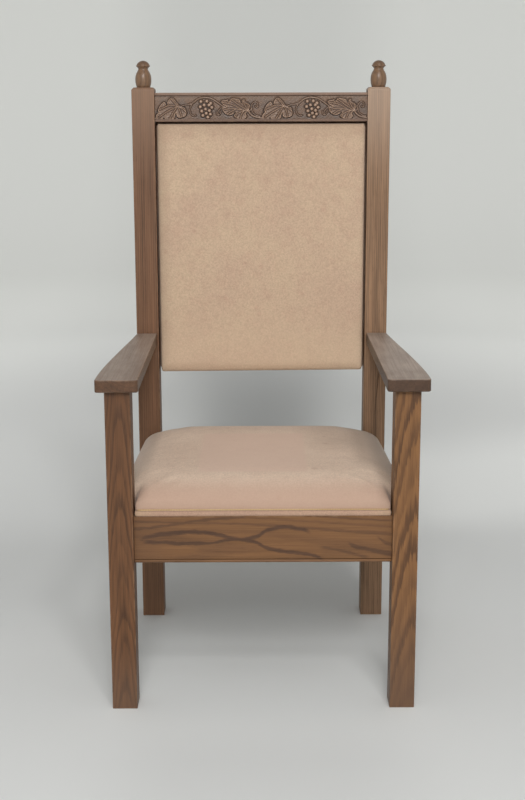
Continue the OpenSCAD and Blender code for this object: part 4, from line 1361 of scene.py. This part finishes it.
def makeScrews(name, material):
    # each screw points the way its solid is longest; its head is at the wider end
    target = bmesh.new()
    coords = [v.co.copy() for v in nodes[name].data.vertices]
    for number, (low, high) in enumerate(solidParts(name)):
        size = high - low
        axis = max(range(3), key=lambda i: size[i])
        centre = (low + high) / 2
        inside = [c for c in coords if all(low[i] - 1e-5 <= c[i] <= high[i] + 1e-5 for i in range(3))]

        def widthNear(end):
            return max((c - centre - Vector([(c - centre)[i] if i == axis else 0 for i in range(3)])).length
                       for c in inside if abs(c[axis] - end) < 1e-4)
        atLow = widthNear(low[axis]) > widthNear(high[axis])
        direction = Vector([0, 0, 0])
        direction[axis] = 1 if atLow else -1
        head = centre.copy()
        head[axis] = low[axis] if atLow else high[axis]
        turn = direction.to_track_quat("Z", "Y").to_matrix().to_4x4()
        spin = Matrix.Rotation(0.7 * number + 0.3, 4, "Z")
        mesh = screwForm(size[axis])
        mesh.transform(Matrix.Translation(head) @ turn @ spin)
        target.from_mesh(mesh)
        bpy.data.meshes.remove(mesh)
    mesh = bpy.data.meshes.new(name + "_cross_head")
    target.to_mesh(mesh)
    target.free()
    piece = bpy.data.objects.new(name + "_cross_head", mesh)
    view.collection.objects.link(piece)
    piece.data.materials.append(material)
    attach(piece, "root")
    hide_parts(name)


steel = makeSteel()
for name in ("corner_block_screws", "seat_screws", "back_panel_screws"):
    makeScrews(name, steel)
print("screws driven")


# Stage: pale paper, a shallow dish that turns up into a wall, with painted shadows and painted glows on it,
# and soft lamps in front

stageSetup = {
    "rise": (0.28, 0.9, 2.5),     # height of the dish, and the radii between which it rises
    "floorRadius": 4.2,
    "bend": 1.5,
    "wall": (0.4, 5.0),           # from this far over the bend, up to this height
    "near": (232, 233, 231),
    "far": (196, 197, 195),
    "change": (1.3, 4.5),
    "glow": (235, 236, 230),      # painted glow, seen by the camera and in reflections, so that the far paper lights nothing
    "farGlow": (2.0, 4.6, 0.315),
    "ringGlow": (1.7, 2.4, 2.7, 4.8, 0.205),   # radii between which it grows, and fades
    "rightGlow": (0.3, 0.5, 0.09),
    "ringAside": (0.2, 0.4),
    "sideGlow": (0.35, 1.0, 0.07),
    "sideStart": (0.9, 1.6),
    "shadow": (0.0, 0.3, 0.29),   # painted shadow, deeper behind the chair's middle, between these radii
    "shadowReach": (0.9, 1.3, 2.4),
    "besideGlow": 0.05,
    "besideReach": (0.1, 0.27, 0.3, 0.42),
    "frontShade": (-0.3, -0.5, 0.08),     # painted shade, a little deeper in front of the chair
    "frontReach": (0.12, 0.4),
    "leftShade": (-0.25, -0.55, 0.08),    # and painted shade low on the left
    "leftReach": (0.0, 0.4, 0.6, 1.0),
    "rightReach": (0.75, 1.0, 1.25, 1.55),
    "sides": 128,
}


def dishHeight(radius):
    rise, start, end = stageSetup["rise"]
    return rise * smoothStep(radius, start, end)


def between(tree, value, grow, full, fade, gone, most=1.0):
    # soft band: nothing before grow and past gone, all of it from full to fade
    return times(tree, spread(tree, value, grow, full), spread(tree, value, gone, fade, 0.0, most))


def makeStage():
    reach, bend = stageSetup["floorRadius"], stageSetup["bend"]
    rise, (over, top) = stageSetup["rise"][0], stageSetup["wall"]
    profile = [(r, dishHeight(r)) for r in np.linspace(0.2, reach, 60)]
    profile += [(reach + bend * math.sin(a), rise + bend * (1 - math.cos(a)))
                for a in np.linspace(0.1, math.pi / 2, 16)]
    profile += [(reach + bend, z) for z in np.linspace(rise + bend + over, top, 8)]
    sides = stageSetup["sides"]
    points = [(0, 0, 0)]
    for r, z in profile:
        points += circle(r, z, sides)
    faces = fanFaces(0, 1, sides) + ringFaces(sides, len(profile), 1)
    mesh = bpy.data.meshes.new("studio_floor")
    mesh.from_pydata(points, [], faces)
    mesh.polygons.foreach_set("use_smooth", [True] * len(mesh.polygons))
    floor = bpy.data.objects.new("studio_floor", mesh)
    view.collection.objects.link(floor)
    material, tree, shader, place = startMaterial("studio.paper", 0.9, (
        ("Specular IOR Level", 0.15), ("Emission Color", tone(*stageSetup["glow"]))))
    radius = vectorCalc(tree, "LENGTH", place)
    near, far = stageSetup["near"], stageSetup["far"]
    paper = mixTones(tree, spread(tree, radius, *stageSetup["change"]), tone(*near), tone(*far))
    x, y = splitPlace(tree, place)[:2]
    aside = calc(tree, "ABSOLUTE", x)
    start, end, most = stageSetup["shadow"]
    grow, full, gone = stageSetup["shadowReach"]
    behind = between(tree, y, grow, full, full, gone)
    deeper = times(tree, spread(tree, aside, start, end, most, 0.0), behind)
    start, end, most = stageSetup["frontShade"]
    ahead = spread(tree, aside, *stageSetup["frontReach"], most, 0.0)
    ahead = times(tree, spread(tree, y, start, end), ahead)
    start, end, most = stageSetup["leftShade"]
    left = between(tree, y, *stageSetup["leftReach"])
    left = times(tree, left, spread(tree, x, start, end, 0.0, most))
    # painted shadows on the paper: behind the chair, in front of it and low on the left
    for shade in (deeper, ahead, left):
        paper = mixTones(tree, shade, paper, tone(0, 0, 0))
    put(tree, paper, shader.inputs["Base Color"])
    # painted glows, seen by the camera and in reflections only
    rays = addNode(tree, "ShaderNodeLightPath").outputs
    seen = calc(tree, "MAXIMUM", rays["Is Camera Ray"],
                calc(tree, "MAXIMUM", rays["Is Glossy Ray"], rays["Is Transmission Ray"]))
    start, end, most = stageSetup["farGlow"]
    glow = spread(tree, radius, start, end, 0.0, most)
    start, end, most = stageSetup["sideGlow"]
    wide = spread(tree, aside, start, end, 0.0, most)
    glow = calc(tree, "MULTIPLY_ADD", wide, spread(tree, radius, *stageSetup["sideStart"]), glow)
    beside = between(tree, aside, *stageSetup["besideReach"])
    glow = calc(tree, "ADD", glow, times(tree, beside, behind, stageSetup["besideGlow"]))
    ring = between(tree, radius, *stageSetup["ringGlow"])
    glow = calc(tree, "MULTIPLY_ADD", ring, spread(tree, aside, *stageSetup["ringAside"]), glow)
    start, end, most = stageSetup["rightGlow"]
    right = between(tree, y, *stageSetup["rightReach"])
    glow = calc(tree, "MULTIPLY_ADD", right, spread(tree, x, start, end, 0.0, most), glow)
    put(tree, times(tree, glow, seen), shader.inputs["Emission Strength"])
    mesh.materials.append(material)


lampSetup = {
    "middle": dict(place=(0.0, -4.97, 3.66), power=138, size=1.8),
    "low": dict(place=(0.0, -5.48, 2.74), power=38, size=1.8),
    "right": dict(place=(1.04, -3.88, 4.76), power=39, size=0.7),
    "left": dict(place=(-1.2, -4.5, 4.08), power=10, size=0.7),
    "top": dict(place=(0.5, -2.9, 5.5), power=13, size=1.8),
}
worldStrength = 0.34


def makeLamps():
    for name, setup in lampSetup.items():
        data = bpy.data.lights.new("lamp." + name, "AREA")
        data.shape = "DISK"
        data.size = setup["size"]
        data.energy = setup["power"]
        lamp = bpy.data.objects.new("lamp." + name, data)
        view.collection.objects.link(lamp)
        lamp.location = setup["place"]
        aim = Vector((0, 0, 0.6)) - lamp.location
        lamp.rotation_euler = aim.to_track_quat("-Z", "Y").to_euler()
        lamp.visible_camera = False
    world = bpy.data.worlds.new("studio")
    world.use_nodes = True
    world.node_tree.nodes["Background"].inputs["Color"].default_value = (1, 1, 1, 1)
    world.node_tree.nodes["Background"].inputs["Strength"].default_value = worldStrength
    view.world = world


makeStage()
makeLamps()
print("stage and lamps set")
